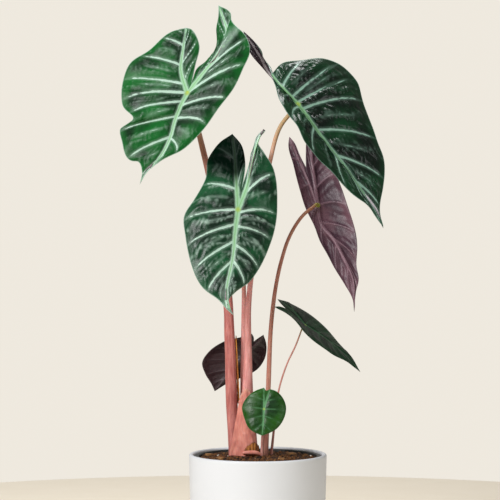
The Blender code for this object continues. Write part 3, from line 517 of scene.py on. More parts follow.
def sheet_between(vein, margin, stations, across, half, size, seed, inner=False):
    """One patch of a blade and its values, all in millimetres.

    Places: (1 - v) vein + v margin, with v from 0 to 1 across. On an outer patch y gains
    fold w v - 4 puff w v (1 - v), where w is the width square to the vein. Every distance is
    measured square to its line, because the rows meet the lines at a slant.

    The values: how far a place lies outside the nearest big vein and side vein (negative within
    them), from the vein's middle (spine) and from the margin (edge); the height of the swelling
    and of the ribs underneath; the pleats' pattern for painted light (pleat); and
    the painted shade on a lobe far back (deep).
    """
    v = across[None, :]
    s = stations[:, None]
    width = square_distance(margin - vein, np.gradient(vein, axis=0), (0, 2))
    patch = vein[:, None, :] * (1 - v[:, :, None]) + margin[:, None, :] * v[:, :, None]
    if not inner:
        patch[:, :, 1] += half["fold"] * width * v - 4 * half["puff"] * width * v * (1 - v)

    # The side veins leave the big vein at the knots and run forward.
    wide = np.linalg.norm(margin - vein, axis=1)[:, None]
    square = square_distance(margin - vein, np.gradient(vein, axis=0))
    from_edge = square_distance(margin - vein, np.gradient(margin, axis=0))
    along = square_distance(np.gradient(patch, stations, axis=0), (margin - vein)[:, None, :])
    forward = s + 0.25 * v if inner else s - VEIN_BOW * v**2.5
    limit = 1.0 if inner else 2.0
    knots = np.array([0.0, *[k for k in half["veins"] if k < limit], limit])
    cell = np.clip(np.searchsorted(knots, forward) - 1, 0, len(knots) - 2)
    low, high = knots[cell], knots[cell + 1]
    to_low = np.where(cell == 0, FAR, (forward - low) * along)
    to_high = np.where(cell == len(knots) - 2, FAR, (high - forward) * along)
    thin = size * (1.3 * (1 - 0.6 * v) - 1.5 * ease(0.84, 1.0, v))
    side_vein = np.minimum(to_low, to_high) - thin

    # A hair-thin vein runs midway between two side veins, where there is room for it.
    between = np.abs(forward - (low + high) / 2) * along
    hidden = 3 * (1 - ease(0.1, 0.3, v)) + 3 * ease(0.6, 0.85, v) + 3 * (high - low < 0.12)
    side_vein = np.minimum(side_vein, between - 0.1 * size + hidden)

    # The big vein is widest at the joint and tapers to the tips.
    big = size * (1.1 + 1.45 * np.clip(1 - np.abs(s - 1.0), 0.0, 1.0) ** 1.2)
    big_vein = v * square - np.minimum(big, 0.4 * square)

    # The tissue swells between side veins, with pleats along them and wrinkles across.
    share = np.clip((forward - low) / (high - low), 0.0, 1.0)
    room = np.clip((high - low) * along / ROOMY, 0.0, 1.2)
    raised = np.sin(math.pi * share) ** 0.75
    hold = ease(0.0, 2.5, big_vein) * (1 - ease(0.78, 1.0, v)) * ease(2.0, 14.0, wide)
    stretch = waves(patch, 30.0, seed)
    lengthwise = np.sin(2 * math.pi * PLEATS * share + 2.2 * stretch + 6 * s)
    crosswise = np.sin(2 * math.pi * v * wide / WRINKLE + 3.2 * waves(patch, 17.0, seed + 1))
    swelling = size * hold * (SWELLING * room * raised + half["pleats"] * room * lengthwise
                              * raised ** 0.5 + half["wrinkle"] * crosswise * raised)
    ripple = 0.0 if inner else size * RIPPLE * waves(patch, 34.0, seed + 2) * (
        ease(0.5, 1.0, v) * ease(4.0, 16.0, wide))
    ribs = BIG_RIB * size * (1 - ease(-1.0, 0.6, big_vein)) + SIDE_RIB * size * (
        1 - ease(-0.6, 0.5, side_vein))
    values = {
        "big_vein": big_vein + 0 * v,
        "side_vein": side_vein,
        "spine": v * square / size,
        "swelling": swelling + ripple,
        "ribs": ribs * (1 - ease(0.86, 1.0, v)) * ease(1.0, 6.0, wide),
        "edge": (1 - v) * from_edge,
        # pleat: the raised pleats' pattern, which the material paints as sheen and highlight.
        "pleat": raised * (0.5 + 0.3 * lengthwise + 0.2 * crosswise),
        # deep: painted shade on the lobe that lies back under the leaf above, full towards the
        # lobe's tip and gone past s = 0.82.
        "deep": half.get("deep", 0.0) * (1 - ease(0.55, 0.82, s)) + 0 * v,
    }
    return patch, values


print("a leaf's tissue is", BLADE_THICKNESS, "mm thick, on a grid of", CELL, "mm cells")


# %% from lines to a solid blade
def blade_sheet(leaf, seed):
    """A blade's middle surface in metres, with its triangles and values, welded into one sheet."""
    size = leaf["size"]
    all_places, all_triangles, start = [], [], 0
    all_values = {}
    for side in ("left", "right"):
        half = leaf[side]
        rib, lobe, outer, inner = blade_lines(leaf, side)
        rows_lobe = int(np.linalg.norm(np.diff(lobe, axis=0), axis=1).sum() / CELL)
        rows_rib = int(np.linalg.norm(np.diff(rib, axis=0), axis=1).sum() / CELL * RIB_ROWS)
        on_lobe = np.linspace(0.0, 1.0, rows_lobe + 1)
        on_rib = np.linspace(0.0, 1.0, rows_rib + 1)[1:]
        stations = np.concatenate((on_lobe, 1 + on_rib))
        vein = np.vstack((smooth_line(lobe, on_lobe), smooth_line(rib, on_rib)))
        opposite, (lobe_sweep, rib_sweep) = half["opposite"], half["sweep"]
        reach = np.concatenate((opposite * on_lobe ** lobe_sweep,
                                1 - (1 - opposite) * (1 - on_rib) ** rib_sweep))
        margin = smooth_line(outer, reach)
        widest = np.linalg.norm(margin - vein, axis=1).max()
        across = np.linspace(0.0, 1.0, int(widest / CELL) + 1)
        few = np.linspace(0.0, 1.0, INNER_COLUMNS)
        notch_side = smooth_line(inner, on_lobe)
        patches = (
            sheet_between(vein, margin, stations, across, half, size, seed),
            sheet_between(vein[:len(on_lobe)], notch_side, on_lobe, few, half, size, seed, True),
        )
        for number, (patch, values) in enumerate(patches):
            rows, columns = patch.shape[:2]
            flip = (side == "left") != (number == 1)
            all_triangles.append(grid_triangles(rows, columns, start, flip))
            all_places.append(patch.reshape(-1, 3))
            start += rows * columns
            for key, value in values.items():
                full = np.broadcast_to(value, (rows, columns)).ravel()
                all_values.setdefault(key, []).append(full)
    values = {key: np.concatenate(parts) for key, parts in all_values.items()}
    places = np.vstack(all_places)
    values["joint"] = np.linalg.norm(places, axis=1) / size
    return weld((places + leaf["joint"]) * MM, np.vstack(all_triangles), values)


def close_sheet(places, triangles, above, below, values=None):
    """A closed solid round a sheet: places moved along their normals by above and by -below.

    The open edge, whose sides belong to one triangle only, is closed by a strip.
    """
    normals = vertex_normals(places, triangles)
    sides = np.vstack((triangles[:, [0, 1]], triangles[:, [1, 2]], triangles[:, [2, 0]]))
    _, number, uses = np.unique(np.sort(sides, 1), axis=0, return_inverse=True,
                                return_counts=True)
    rim = sides[uses[number.reshape(-1)] == 1]
    count = len(places)
    strip = np.vstack((np.column_stack((rim[:, 1], rim[:, 0], rim[:, 0] + count)),
                       np.column_stack((rim[:, 1], rim[:, 0] + count, rim[:, 1] + count))))
    whole = np.vstack((triangles, triangles[:, ::-1] + count, strip))
    doubled = {key: np.concatenate((value, value)) for key, value in (values or {}).items()}
    doubled["upper"] = np.concatenate((np.ones(count), np.zeros(count)))
    solid = np.vstack((places + normals * np.reshape(above, (-1, 1)),
                       places - normals * np.reshape(below, (-1, 1))))
    return solid, whole, doubled


def make_blade(name, leaf, material, seed):
    """A blade. Above: swelling + thickness/2. Below: thickness/2 + ribs - swelling."""
    places, triangles, values = blade_sheet(leaf, seed)
    if name in BACK_SHOWS:
        triangles = triangles[:, ::-1]
    half_thick = BLADE_THICKNESS / 2 * (0.35 + 0.65 * ease(0.0, 2.5, values["edge"]))
    above = (values["swelling"] + half_thick) * MM
    below = (half_thick + values.pop("ribs") - values.pop("swelling")) * MM
    solid, whole, values = close_sheet(places, triangles, above, below, values)
    piece = make_piece("leaf_" + name, solid, whole, material, values)
    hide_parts("blade_" + name)
    print(f"{piece.name}: {len(whole)} triangles")


print("a half blade is drawn with", len(list(blade_lines(LEAVES["front"], "left"))), "lines")

# %% [markdown]
# ## The blade's material
# Living leaf under a smooth waxy skin, the cuticle. The skin gives a clear but soft gloss, so the
# roughness is low and uneven, and the pleats catch long highlights; pale colour on the pleats and
# beside the veins adds painted sheen. The tissue is a very dark bottle green, fresher in patches
# and near the margin. The veins above are a pale grey-green, darker on the narrow and the round
# leaf, and every blade is yellow-green at the joint. The underside is plum purple with duller
# ribs. Painted shade darkens one lobe of the front leaf. The upper left leaf's green carries
# painted sunlight, and the hanging and rear leaves' purples carry painted shade.

# %% leaf material
def leaf_material(name, dark, fresh, vein, rib, line, under, under_dark, under_rib,
                  rough=0.3, shine=0.5, painted_sheen=0.2):
    """A leaf's two sides in one material: the `upper` value picks the side.

    `shine` is how strongly the skin reflects; `painted_sheen` is the pale painted sheen by the
    veins.
    """
    material, tree, shader = start_material(name, IOR=1.45)
    n = partial(add_node, tree)
    here = n("TexCoord", give="Object")
    big_vein, side_vein, spine, edge, pleat, joint, deep, upper = (
        n("Attribute", give="Fac", attribute_name=key)
        for key in ("big_vein", "side_vein", "spine", "edge", "pleat", "joint", "deep", "upper"))

    # Patterns by their size in mm: patches, skin grain, uneven veins, painted sheen and fine grain.
    broad, grain, wobble, painted_sheen_patches, fine = (
        n("TexNoise", {"Vector": here, "Scale": 1000 / size, "Detail": detail}, "Fac")
        for size, detail in ((30, 3.0), (3, 4.0), (5, 2.0), (12, 2.0), (1.2, 2.0)))
    wobble = n("MapRange", (wobble, 0.3, 0.7, -0.3, 0.3))
    near_side = n("Math", (side_vein, wobble), operation="ADD")
    near_big = n("Math", (big_vein, wobble), operation="ADD")
    side = n("MapRange", (near_side, -0.25, 0.35, 1.0, 0.0), **SOFT)
    # The pale halos beside the veins are partly the veins' own pale edge and partly painted sheen;
    # painted_sheen_patches adds more painted sheen on the raised pleats near the side veins.
    vein_halo_and_sheen = n("MapRange", (near_side, 0.0, 3.0, 0.18, 0.0), **SOFT)
    painted_sheen_patches = n("Math", (painted_sheen_patches, n("Math", (pleat, 0.5), operation="MULTIPLY")), operation="ADD")
    painted_sheen_patches = n("MapRange", (painted_sheen_patches, 0.7, 1.05, 0.0, painted_sheen), **SOFT)
    beside = n("MapRange", (near_side, 0.5, 9.0, 1.0, 0.0), **SOFT)
    vein_halo_and_sheen = n("Math", (vein_halo_and_sheen, n("Math", (painted_sheen_patches, beside), operation="MULTIPLY")), operation="MAXIMUM")
    big = n("MapRange", (near_big, -0.35, 0.35, 1.0, 0.0), **SOFT)
    big_vein_halo_and_sheen = n("MapRange", (near_big, 0.0, 2.2, 0.32, 0.0), **SOFT)

    # The rib and the lobes' veins: greener towards the joint and along their middle.
    by_joint = n("MapRange", (joint, 8.0, 75.0, 1.0, 0.25), **SOFT)
    centre = n("Mix", {0: by_joint, 6: tint(vein), 7: tint(rib)}, 2, **COLOURS)
    middle = n("MapRange", (spine, 0.25, 0.8, 0.75, 0.0), **SOFT)
    centre = n("Mix", {0: middle, 6: centre, 7: tint(line)}, 2, **COLOURS)

    # The upper side, from the tissue up: each layer is its share and its colour.
    patches = n("MapRange", (broad, 0.38, 0.66, 0.0, 1.0), **SOFT)
    by_edge = n("MapRange", (edge, 1.0, 10.0, 0.6, 0.0), **SOFT)
    # Painted highlight: the ridges of the pleats are paled towards the vein colour.
    streak = n("Math", (pleat, grain), operation="MULTIPLY")
    streak = n("MapRange", (streak, 0.25, 0.6, 0.0, 0.14), **SOFT)
    near = n("Math", (vein_halo_and_sheen, big_vein_halo_and_sheen), operation="MAXIMUM")
    spot = n("MapRange", (joint, 1.0, 4.2, 0.8, 0.0), **SOFT)
    rim_line = n("MapRange", (edge, 0.25, 0.9, 0.55, 0.0), **SOFT)
    top = tint(dark)
    for share, over in ((patches, tint(fresh)), (by_edge, tint(fresh)), (streak, tint(vein)),
                        (near, tint(vein)), (side, tint(vein)), (big, centre),
                        # The last layer is painted shade: near-black tissue on the lobe that lies
                        # under the leaf above.
                        (spot, tint("#93ad4a")), (rim_line, tint(vein)), (deep, tint("#010a05"))):
        top = n("Mix", {0: share, 6: top, 7: over}, 2, **COLOURS)

    # The underside, in the same way.
    ribbed = n("Math", (side, 0.6), operation="MULTIPLY")
    ribbed = n("Math", (ribbed, big), operation="MAXIMUM")
    below = tint(under)
    for share, over in ((patches, under_dark), (ribbed, under_rib), (spot, "#b3c238")):
        below = n("Mix", {0: share, 6: below, 7: tint(over)}, 2, **COLOURS)

    skin = n("Mix", {0: upper, 6: below, 7: top}, 2, **COLOURS)
    # Painted shade also turns the skin's reflection down on that lobe, nearly to none.
    shine_under_painted_shade = n("MapRange", (deep, 0.0, 0.8, shine, 0.02))
    tree.links.new(shine_under_painted_shade, shader.inputs["Specular IOR Level"])
    gloss = n("MapRange", (grain, 0.3, 0.7, rough - 0.05, rough + 0.1))
    relief = n("Math", (grain, fine), operation="ADD")
    finish_shader(tree, shader, skin, relief, 0.28, 0.5, gloss)
    return material


VEINS = {"vein": "#a8c4b4", "rib": "#8fb795", "line": "#74a96c"}
PURPLES = {"under": "#4f3540", "under_dark": "#33202a", "under_rib": "#8a7c82"}
DEEP_GREENS = {"dark": "#010f08", "fresh": "#063018"}
# The upper left leaf's brighter, fresher green is partly its own colour and partly painted sunlight.
fresh_painted_sunlit_leaf = leaf_material("living_leaf_fresh_painted_sunlit", "#03260f", "#0b5a20", **VEINS, **PURPLES,
                          rough=0.36, shine=0.25, painted_sheen=0.08)
glossy_leaf = leaf_material("living_leaf_glossy", "#021e10", "#0b4726", **VEINS, **PURPLES,
                            rough=0.3, shine=0.38, painted_sheen=0.42)
dark_leaf = leaf_material("living_leaf_wrinkled", **DEEP_GREENS, vein="#7d9f8f", rib="#7aa67f",
                          line="#6a9c62", under="#4f4049", under_dark="#33272f",
                          under_rib="#b3adb3", rough=0.2, shine=0.36, painted_sheen=0.1)
# The hanging leaf's purples are darkened: partly its own plum underside, partly painted shadow of
# the upper right leaf.
plum_leaf = leaf_material("living_leaf_plum", **DEEP_GREENS, **VEINS, under="#63444f",
                          under_dark="#412a36", under_rib="#7a5d68", rough=0.42)
young_leaf = leaf_material("living_leaf_young", "#052207", "#1e4d0b", vein="#3a6640",
                           rib="#5b8d63", line="#4c7f4e", **PURPLES, shine=0.3)
slim_leaf = leaf_material("living_leaf_slim", "#03160b", "#0b3219", vein="#1b452a",
                          rib="#2c5a3a", line="#234d30", **PURPLES, shine=0.35)
# The rear leaf's underside purples are darkened: partly its own purple, partly painted shade, since
# it stands behind the plant.
painted_shade_leaf = leaf_material("living_leaf_painted_shade", **DEEP_GREENS, **VEINS, under="#2c1a20",
                           under_dark="#190f12", under_rib="#4a3c41", rough=0.36)

LEAF_LOOKS = {
    "upper_left": fresh_painted_sunlit_leaf, "front": glossy_leaf, "upper_right": dark_leaf,
    "right_hanging": plum_leaf, "narrow": slim_leaf, "round": young_leaf, "rear": painted_shade_leaf,
}
# How thick the veins and swellings are, beside a full-grown leaf's.
LEAF_SIZE = {"narrow": 0.5, "round": 0.45, "rear": 0.5, "right_hanging": 0.8}
PLEAT_DEPTH = {"upper_left": 0.22, "front": 0.36, "upper_right": 0.42}      # mm
WRINKLE_DEPTH = {"upper_left": 0.08, "front": 0.14, "upper_right": 0.36}    # mm
# Painted shade: the front leaf's left lobe is darkened nearly to black, with its reflection turned
# down, for the shadow of the leaf above it.
LEAVES["front"]["left"]["deep"] = 0.96      # this lobe lies back under the leaf above it
print("leaf materials:", len(set(LEAF_LOOKS.values())))

# %% make the blades
for seed, (name, leaf) in enumerate(LEAVES.items(), start=10):
    leaf["size"] = LEAF_SIZE.get(name, 1.0)
    for side in ("left", "right"):
        leaf[side]["pleats"] = PLEAT_DEPTH.get(name, 0.3)
        leaf[side]["wrinkle"] = WRINKLE_DEPTH.get(name, 0.1)
    make_blade(name, leaf, LEAF_LOOKS[name], seed)

# %% [markdown]
# ## Petioles
# A petiole is the leaf's stalk: a juicy round stem, thick where it clasps its neighbours and thin
# at the blade. Here it is salmon pink, streaked lengthwise, and turns yellow-green just below the
# blade. It is a circle carried along a smooth line, and the line is the CAD petiole's own.

# %% the petioles' lines
# Foot: (x, y) at the soil. Rise: places on the way up. Radii: (share of the rise, radius). In mm.
PETIOLES = {
    "upper_left": {
        "foot": (-23.5, 2),
        "rise": [(-27, 3, 190), (-28, 4, 225), (-30, 8, 276), (-36, 14, 340), (-47, 18, 400),
                 (-60, 20, 455)],
        "radii": [(0, 6.2), (0.25, 5.6), (0.5, 4.5), (0.75, 3.4), (1, 2.4)],
    },
    "front": {
        "foot": (-14, 13.5),
        "rise": [(-14.2, 13, 190), (-14.4, 12, 250), (-14.2, 8, 290), (-15.5, -8, 330),
                 (-18, -26, 360)],
        "radii": [(0, 5.2), (0.2, 4.0), (0.45, 2.8), (0.7, 2.1), (1, 1.9)],
    },
    "upper_right": {
        "foot": (-10.5, -5),
        "rise": [(-11, -5, 160), (-10.6, -4, 190), (-10, -3, 225), (-9.3, -3, 285), (-4, -1, 330),
                 (6, 3, 385), (13, 8, 430), (24, 14, 465)],
        "radii": [(0, 8.4), (0.1, 7.0), (0.18, 5.4), (0.3, 3.5), (0.45, 2.7), (0.7, 2.3), (1, 2.1)],
    },
    "right_hanging": {
        "foot": (8, -2),
        "rise": [(10.5, 0, 195), (15, 3, 276), (18, 4, 298), (24, 6, 326), (32, 8, 350),
                 (45, 12, 371)],
        "radii": [(0, 2.7), (0.4, 2.3), (0.8, 1.8), (1, 1.7)],
    },
    "narrow": {
        "foot": (14, 3),
        "rise": [(17, 3, 160), (21, 2, 193), (30, 0, 222), (38, -1, 239)],
        "radii": [(0, 1.4), (0.4, 0.95), (1, 0.75)],
    },
    "round": {
        "foot": (4, -12),
        "rise": [(4.5, -14, 145), (5.5, -20, 162)],
        "radii": [(0, 1.6), (1, 1.1)],
    },
    "rear": {
        "foot": (-7, 22),
        "rise": [(-8, 24, 160), (-10, 30, 190), (-12, 35, 212)],
        "radii": [(0, 2.2), (1, 1.5)],
    },
}
POT_FLOOR, WALL_GAP, NURSERY_HEIGHT = 6.0, 0.3, 122.0
NURSERY_TOP = POT_FLOOR + WALL_GAP + NURSERY_HEIGHT
SOIL_TOP = NURSERY_TOP        # the mound of soil ends level with the nursery pot's rim
FOOT_RUN = 4.0                # mm, how far above the soil the petiole's own curve starts
STALK_HOOK = 6.0              # mm, the last stretch, square to the blade
BLADE_CLEARANCE = 0.5         # mm, from the petiole's end to the blade's middle surface
FOOT_STEPS, HOOK_STEPS = 7, 4  # places below and above the petiole's own curve
FLARE = (1.04, 1.12, 1.25)    # the petiole widens where it meets the blade
CAP_HEIGHT = 0.35             # of the radius, how far a tube's rounded end stands out


def tube(line, radii, sides=24, reference=(1.0, 0.0, 0.0), wave=0.0, groove=0.0, seed=0):
    """A tube round a line, in metres, with its values.

    Place: P + r (cos a S + sin a U), where S = T x reference made unit length, U = S x T and T
    runs along the line. r = radius (1 + wave noise - groove exp(-(a - pi)^2 / 0.1)). Both ends
    are rounded off to a pole. The value to_end is the distance to the tube's end, in mm.
    """
    line, radii = np.asarray(line, dtype=float), np.asarray(radii, dtype=float)
    forward = np.gradient(line, axis=0)
    forward /= np.linalg.norm(forward, axis=1)[:, None]
    side = np.cross(forward, reference)
    side /= np.linalg.norm(side, axis=1)[:, None]
    up = np.cross(side, forward)
    bend = np.linspace(0.0, math.pi / 2, 5)
    cap_out, cap_in = np.sin(bend), np.cos(bend)
    first = line[0] - forward[0] * radii[0] * CAP_HEIGHT * cap_in[:-1, None]
    last = line[-1] + forward[-1] * radii[-1] * CAP_HEIGHT * cap_in[:-1, None][::-1]
    centres = np.vstack((first, line, last))
    radii = np.concatenate((radii[0] * cap_out[:-1], radii, radii[-1] * cap_out[:-1][::-1]))
    ends = (len(first), len(last))
    side = np.vstack((side[:1].repeat(ends[0], 0), side, side[-1:].repeat(ends[1], 0)))
    up = np.vstack((up[:1].repeat(ends[0], 0), up, up[-1:].repeat(ends[1], 0)))
    angle = np.linspace(0.0, 2 * math.pi, sides + 1)[None, :, None]
    ring = np.cos(angle) * side[:, None, :] + np.sin(angle) * up[:, None, :]
    # The noise has waves of 12 mm, drawn out along the height.
    uneven = waves(centres[:, None, :] * np.array((1, 1, 0.35)) + 0.004 * ring, 0.012, seed)
    size = 1 + wave * uneven - groove * np.exp(-((angle[:, :, 0] - math.pi) ** 2) / 0.1)
    size[:, -1] = size[:, 0]
    places = centres[:, None, :] + ring * (radii[:, None] * size)[:, :, None]
    places[:, -1] = places[:, 0]
    run = np.concatenate(([0.0], np.cumsum(np.linalg.norm(np.diff(centres, axis=0), axis=1))))
    values = {"to_end": np.repeat((run[-1] - run) / MM, sides + 1)}
    triangles = grid_triangles(len(centres), sides + 1)
    return weld(places.reshape(-1, 3), triangles, values, apart=1e-6)


def petiole_line(name, step=2.0):
    """The petiole's line in metres, from just under the soil to the blade, and its radii."""
    petiole, leaf = PETIOLES[name], LEAVES[name]
    lean_x, lean_z = leaf["lean"]
    normal = np.array((lean_x, -1.0, lean_z))
    normal *= (1 if name in BACK_SHOWS else -1) / np.linalg.norm(normal)
    end = np.array(leaf["joint"]) + normal * BLADE_CLEARANCE
    hook = end + normal * STALK_HOOK
    low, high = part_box("petiole_" + name)
    ground = (*petiole["foot"], SOIL_TOP + FOOT_RUN)
    foot = (*petiole["foot"], low[2] / MM + 1.0)
    rise = smooth_line([ground, *petiole["rise"], tuple(hook)],
                       np.linspace(0.0, 1.0, int((high[2] - low[2]) / MM / step)))
    last = np.linspace(0.0, 1.0, HOOK_STEPS + 1)[1:, None]
    line = np.vstack((np.linspace(foot, ground, FOOT_STEPS + 1)[:-1], rise,
                      hook + (end - hook) * last))
    shares = np.concatenate((np.zeros(FOOT_STEPS), np.linspace(0.0, 1.0, len(rise)),
                             np.ones(HOOK_STEPS)))
    radii = np.interp(shares, *zip(*petiole["radii"]))
    radii[-3:] *= FLARE
    return line * MM, radii * MM


tallest = max(petiole["rise"][-1][2] for petiole in PETIOLES.values())
print("the tallest petiole is drawn up to", tallest, "mm")


# %% petiole material
def petiole_material(name, light, dark, streak, top, top_length=60.0):
    """Juicy stem skin: thin, waxy and slightly clear, streaked along its length in pink.

    It turns to the colour `top` over about `top_length` mm below the blade.
    """
    material, tree, shader = start_material(
        name, IOR=1.4, Subsurface_Weight=0.12, Subsurface_Scale=0.004)
    n = partial(add_node, tree)
    here = n("TexCoord", give="Object")
    drawn_out, drawn = (n("Mapping", {"Vector": here, "Scale": (1.0, 1.0, squeeze)})
                        for squeeze in (0.07, 0.4))
    lines, cloud, fleck = (
        n("TexNoise", {"Vector": where, "Scale": 1000 / size, "Detail": detail}, "Fac")
        for where, size, detail in ((drawn_out, 1.6, 3.0), (here, 22, 3.0), (drawn, 1.3, 2.0)))
    shade = n("Math", (n("Math", (lines, 0.65), operation="MULTIPLY"),
                       n("Math", (cloud, 0.35), operation="MULTIPLY")), operation="ADD")
    to_end = n("Attribute", give="Fac", attribute_name="to_end")
    skin = tint(dark)
    for share, over in (
        (n("MapRange", (shade, 0.32, 0.68), **SOFT), light),
        (n("MapRange", (fleck, 0.55, 0.75, 0.0, 0.4), **SOFT), streak),
        (n("MapRange", (to_end, top_length * 0.15, top_length * 2, 1.0, 0.0), **SOFT), top),
        (n("MapRange", (to_end, 2.0, 13.0, 1.0, 0.0), **SOFT), "#98a83a"),
    ):
        skin = n("Mix", {0: share, 6: skin, 7: tint(over)}, 2, **COLOURS)
    gloss = n("MapRange", (lines, 0.3, 0.7, 0.36, 0.5))
    finish_shader(tree, shader, skin, shade, 0.3, 0.4, gloss)
    return material


pink_stem = petiole_material("stem_skin_pink", "#d79a94", "#bb7671", "#a05c5a", "#b59a6c")
deep_stem = petiole_material("stem_skin_deep_pink", "#c17a72", "#9c544f", "#843f3e", "#bf9a76")
tan_stem = petiole_material("stem_skin_tan", "#c08a78", "#a4695a", "#8a5044", "#9a6a50", 40.0)
thin_stem = petiole_material("stem_skin_thin", "#cd958a", "#ab7268", "#8a5044", "#7b6a4c", 16.0)
STEM_LOOKS = {
    "upper_left": deep_stem, "front": pink_stem, "upper_right": pink_stem,
    "right_hanging": tan_stem, "narrow": thin_stem, "round": thin_stem, "rear": deep_stem,
}

for seed, name in enumerate(PETIOLES, start=30):
    line, radii = petiole_line(name)
    places, triangles, values = tube(line, radii, wave=0.035, groove=0.05, seed=seed)
    stem = make_piece("stem_" + name, places, triangles, STEM_LOOKS[name], values)
    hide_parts("petiole_" + name)
print("petioles:", len(PETIOLES))

# %% [markdown]
# ## Sheaths, and the root above the soil
# The foot of each alocasia petiole is wrapped by the sheath of an older leaf. A fresh sheath is
# pink and fleshy with lengthwise folds. An old one dries to golden-brown paper: it frays, curls
# and tears along its length. Each is a sheet between two lines, thickened on both sides.

# %% the sheets between two lines
# Low and high: a sheet's lower and upper line as (x, y, height above the soil), in mm. Bow, fray
# and thick are in mm too, and folds are counted across its width.
SHEATHS = {
    "sheath_pink": {
        "low": [(-29, -5, 0.3), (-24, -6.6, 0.3), (-17, -12, 0.3), (-10.5, -15.4, 0.3),
                (-3, -13.4, 0.3), (0.3, -8, 0.3)],
        "high": [(-20, -7.8, 50), (-18.5, -8.9, 58), (-15.5, -10.8, 66), (-11.5, -11.6, 70),
                 (-7.5, -10.8, 65), (-4.2, -8.4, 54)],
        "bow": -0.6, "fray": 1.0, "folds": 5, "thick": 0.8,
    },
    "sheath_dry": {
        "low": [(-20.4, 6.4, 52), (-19.2, 4.6, 52), (-18.4, 2.6, 52)],
        "high": [(-22.6, 4.2, 122), (-22.3, 3.8, 122.5), (-22.0, 3.4, 122)],
        "bow": 0.0, "fray": 2.5, "folds": 3, "thick": 0.4,
    },
    "sheath_collar": {
        "low": [(-14.5, -16.2, 2), (-10, -18, 1.5), (-3.5, -16.2, 1), (1.4, -11.4, 1)],
        "high": [(-13, -16.0, 9), (-9.5, -17.2, 13), (-3.5, -15.6, 16), (1.2, -10.6, 11)],
        "bow": -0.8, "fray": 1.6, "folds": 6, "thick": 0.4,
    },
}
AERIAL_ROOT = [(-15, -20.5, 4.5), (-11, -21.4, 5.2), (-6, -21.2, 5.4), (-1, -19.8, 4.6),
               (2.5, -18, 3.0)]


FOLD_DEPTH = 0.3              # mm, of the lengthwise folds
CREASE_DEPTH = 0.12           # mm, of the small creases over them


def make_sheath(name, material, seed):
    """A sheet: (1 - v) low + v high, bowed by sin(pi v), folded lengthwise, with a frayed edge.

    Folds: FOLD_DEPTH x sin(2 pi folds u) over the width u. The frayed edge is the upper line
    lowered by noise of `fray` millimetres.
    """
    sheath = SHEATHS[name]
    u = np.linspace(0.0, 1.0, 61)
    v = np.linspace(0.0, 1.0, 71)[:, None]
    low, high = smooth_line(sheath["low"], u), smooth_line(sheath["high"], u)
    ragged = waves(np.column_stack((u, u)) * 100, 13.0, seed) + 0.5 * waves(
        np.column_stack((u, u)) * 100, 5.0, seed + 1)
    high = high - (high - low) / np.linalg.norm(high - low, axis=1)[:, None] * (
        sheath["fray"] * (0.75 + 0.5 * ragged))[:, None]
    sheet = low[None] * (1 - v[:, :, None]) + high[None] * v[:, :, None]
    sheet[:, :, 1] += sheath["bow"] * np.sin(math.pi * v)
    sheet[:, :, 2] += SOIL_TOP
    wander = 2 * v + 2 * waves(sheet, 30.0, seed + 2)
    fold = FOLD_DEPTH * np.sin(2 * math.pi * sheath["folds"] * u + wander)
    fold += CREASE_DEPTH * waves(sheet, 5.0, seed + 3)
    calm = ease(0.0, 0.06, u) * (1 - ease(0.94, 1.0, u))
    places = sheet.reshape(-1, 3) * MM
    thick = np.broadcast_to(sheath["thick"] / 2 * (0.5 + 0.5 * calm), fold.shape)
    solid, whole, values = close_sheet(places, grid_triangles(*fold.shape, flip=True),
                                       (fold * calm + thick).ravel() * MM,
                                       (thick - fold * calm).ravel() * MM,
                                       {"up": np.broadcast_to(v, fold.shape).ravel()})
    piece = make_piece(name + "_wrap", solid, whole, material, values)
    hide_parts(name)


print("sheaths drawn:", ", ".join(SHEATHS))


# %% sheath materials
def sheath_material(name, light, dark, edge, rough):
    """A leaf sheath: fibres run up it, so its colour and gloss are streaked the same way.

    Its free edge has dried to the colour `edge`.
    """
    material, tree, shader = start_material(name, IOR=1.4, Subsurface_Weight=0.1,
                                            Subsurface_Scale=0.003)
    n = partial(add_node, tree)
    here = n("TexCoord", give="Object")
    drawn = n("Mapping", {"Vector": here, "Scale": (1.0, 1.0, 0.12)})
    fibre = n("TexNoise", {"Vector": drawn, "Scale": 1000 / 1.4, "Detail": 4.0}, "Fac")
    cloud = n("TexNoise", {"Vector": here, "Scale": 1000 / 9, "Detail": 3.0}, "Fac")
    mixed = n("Math", (fibre, cloud), operation="ADD")
    mottled = n("MapRange", (mixed, 0.7, 1.3), **SOFT)
    skin = n("Mix", {0: mottled, 6: tint(dark), 7: tint(light)}, 2, **COLOURS)
    up = n("Attribute", give="Fac", attribute_name="up")
    dry = n("MapRange", (up, 0.93, 1.0), **SOFT)
    skin = n("Mix", {0: dry, 6: skin, 7: tint(edge)}, 2, **COLOURS)
    gloss = n("MapRange", (fibre, 0.3, 0.7, rough - 0.06, rough + 0.1))
    finish_shader(tree, shader, skin, fibre, 0.4, 0.5, gloss)
    return material


fresh_sheath = sheath_material("sheath_skin_fresh", "#d58c7c", "#bf7468", "#cf9582", 0.38)
dry_sheath = sheath_material("sheath_paper_dry", "#e39a45", "#b06a26", "#8a5a2a", 0.6)
old_sheath = sheath_material("sheath_paper_old", "#a86a2c", "#552d14", "#3b2010", 0.7)
make_sheath("sheath_pink", fresh_sheath, 50)
make_sheath("sheath_dry", dry_sheath, 55)
make_sheath("sheath_collar", old_sheath, 60)

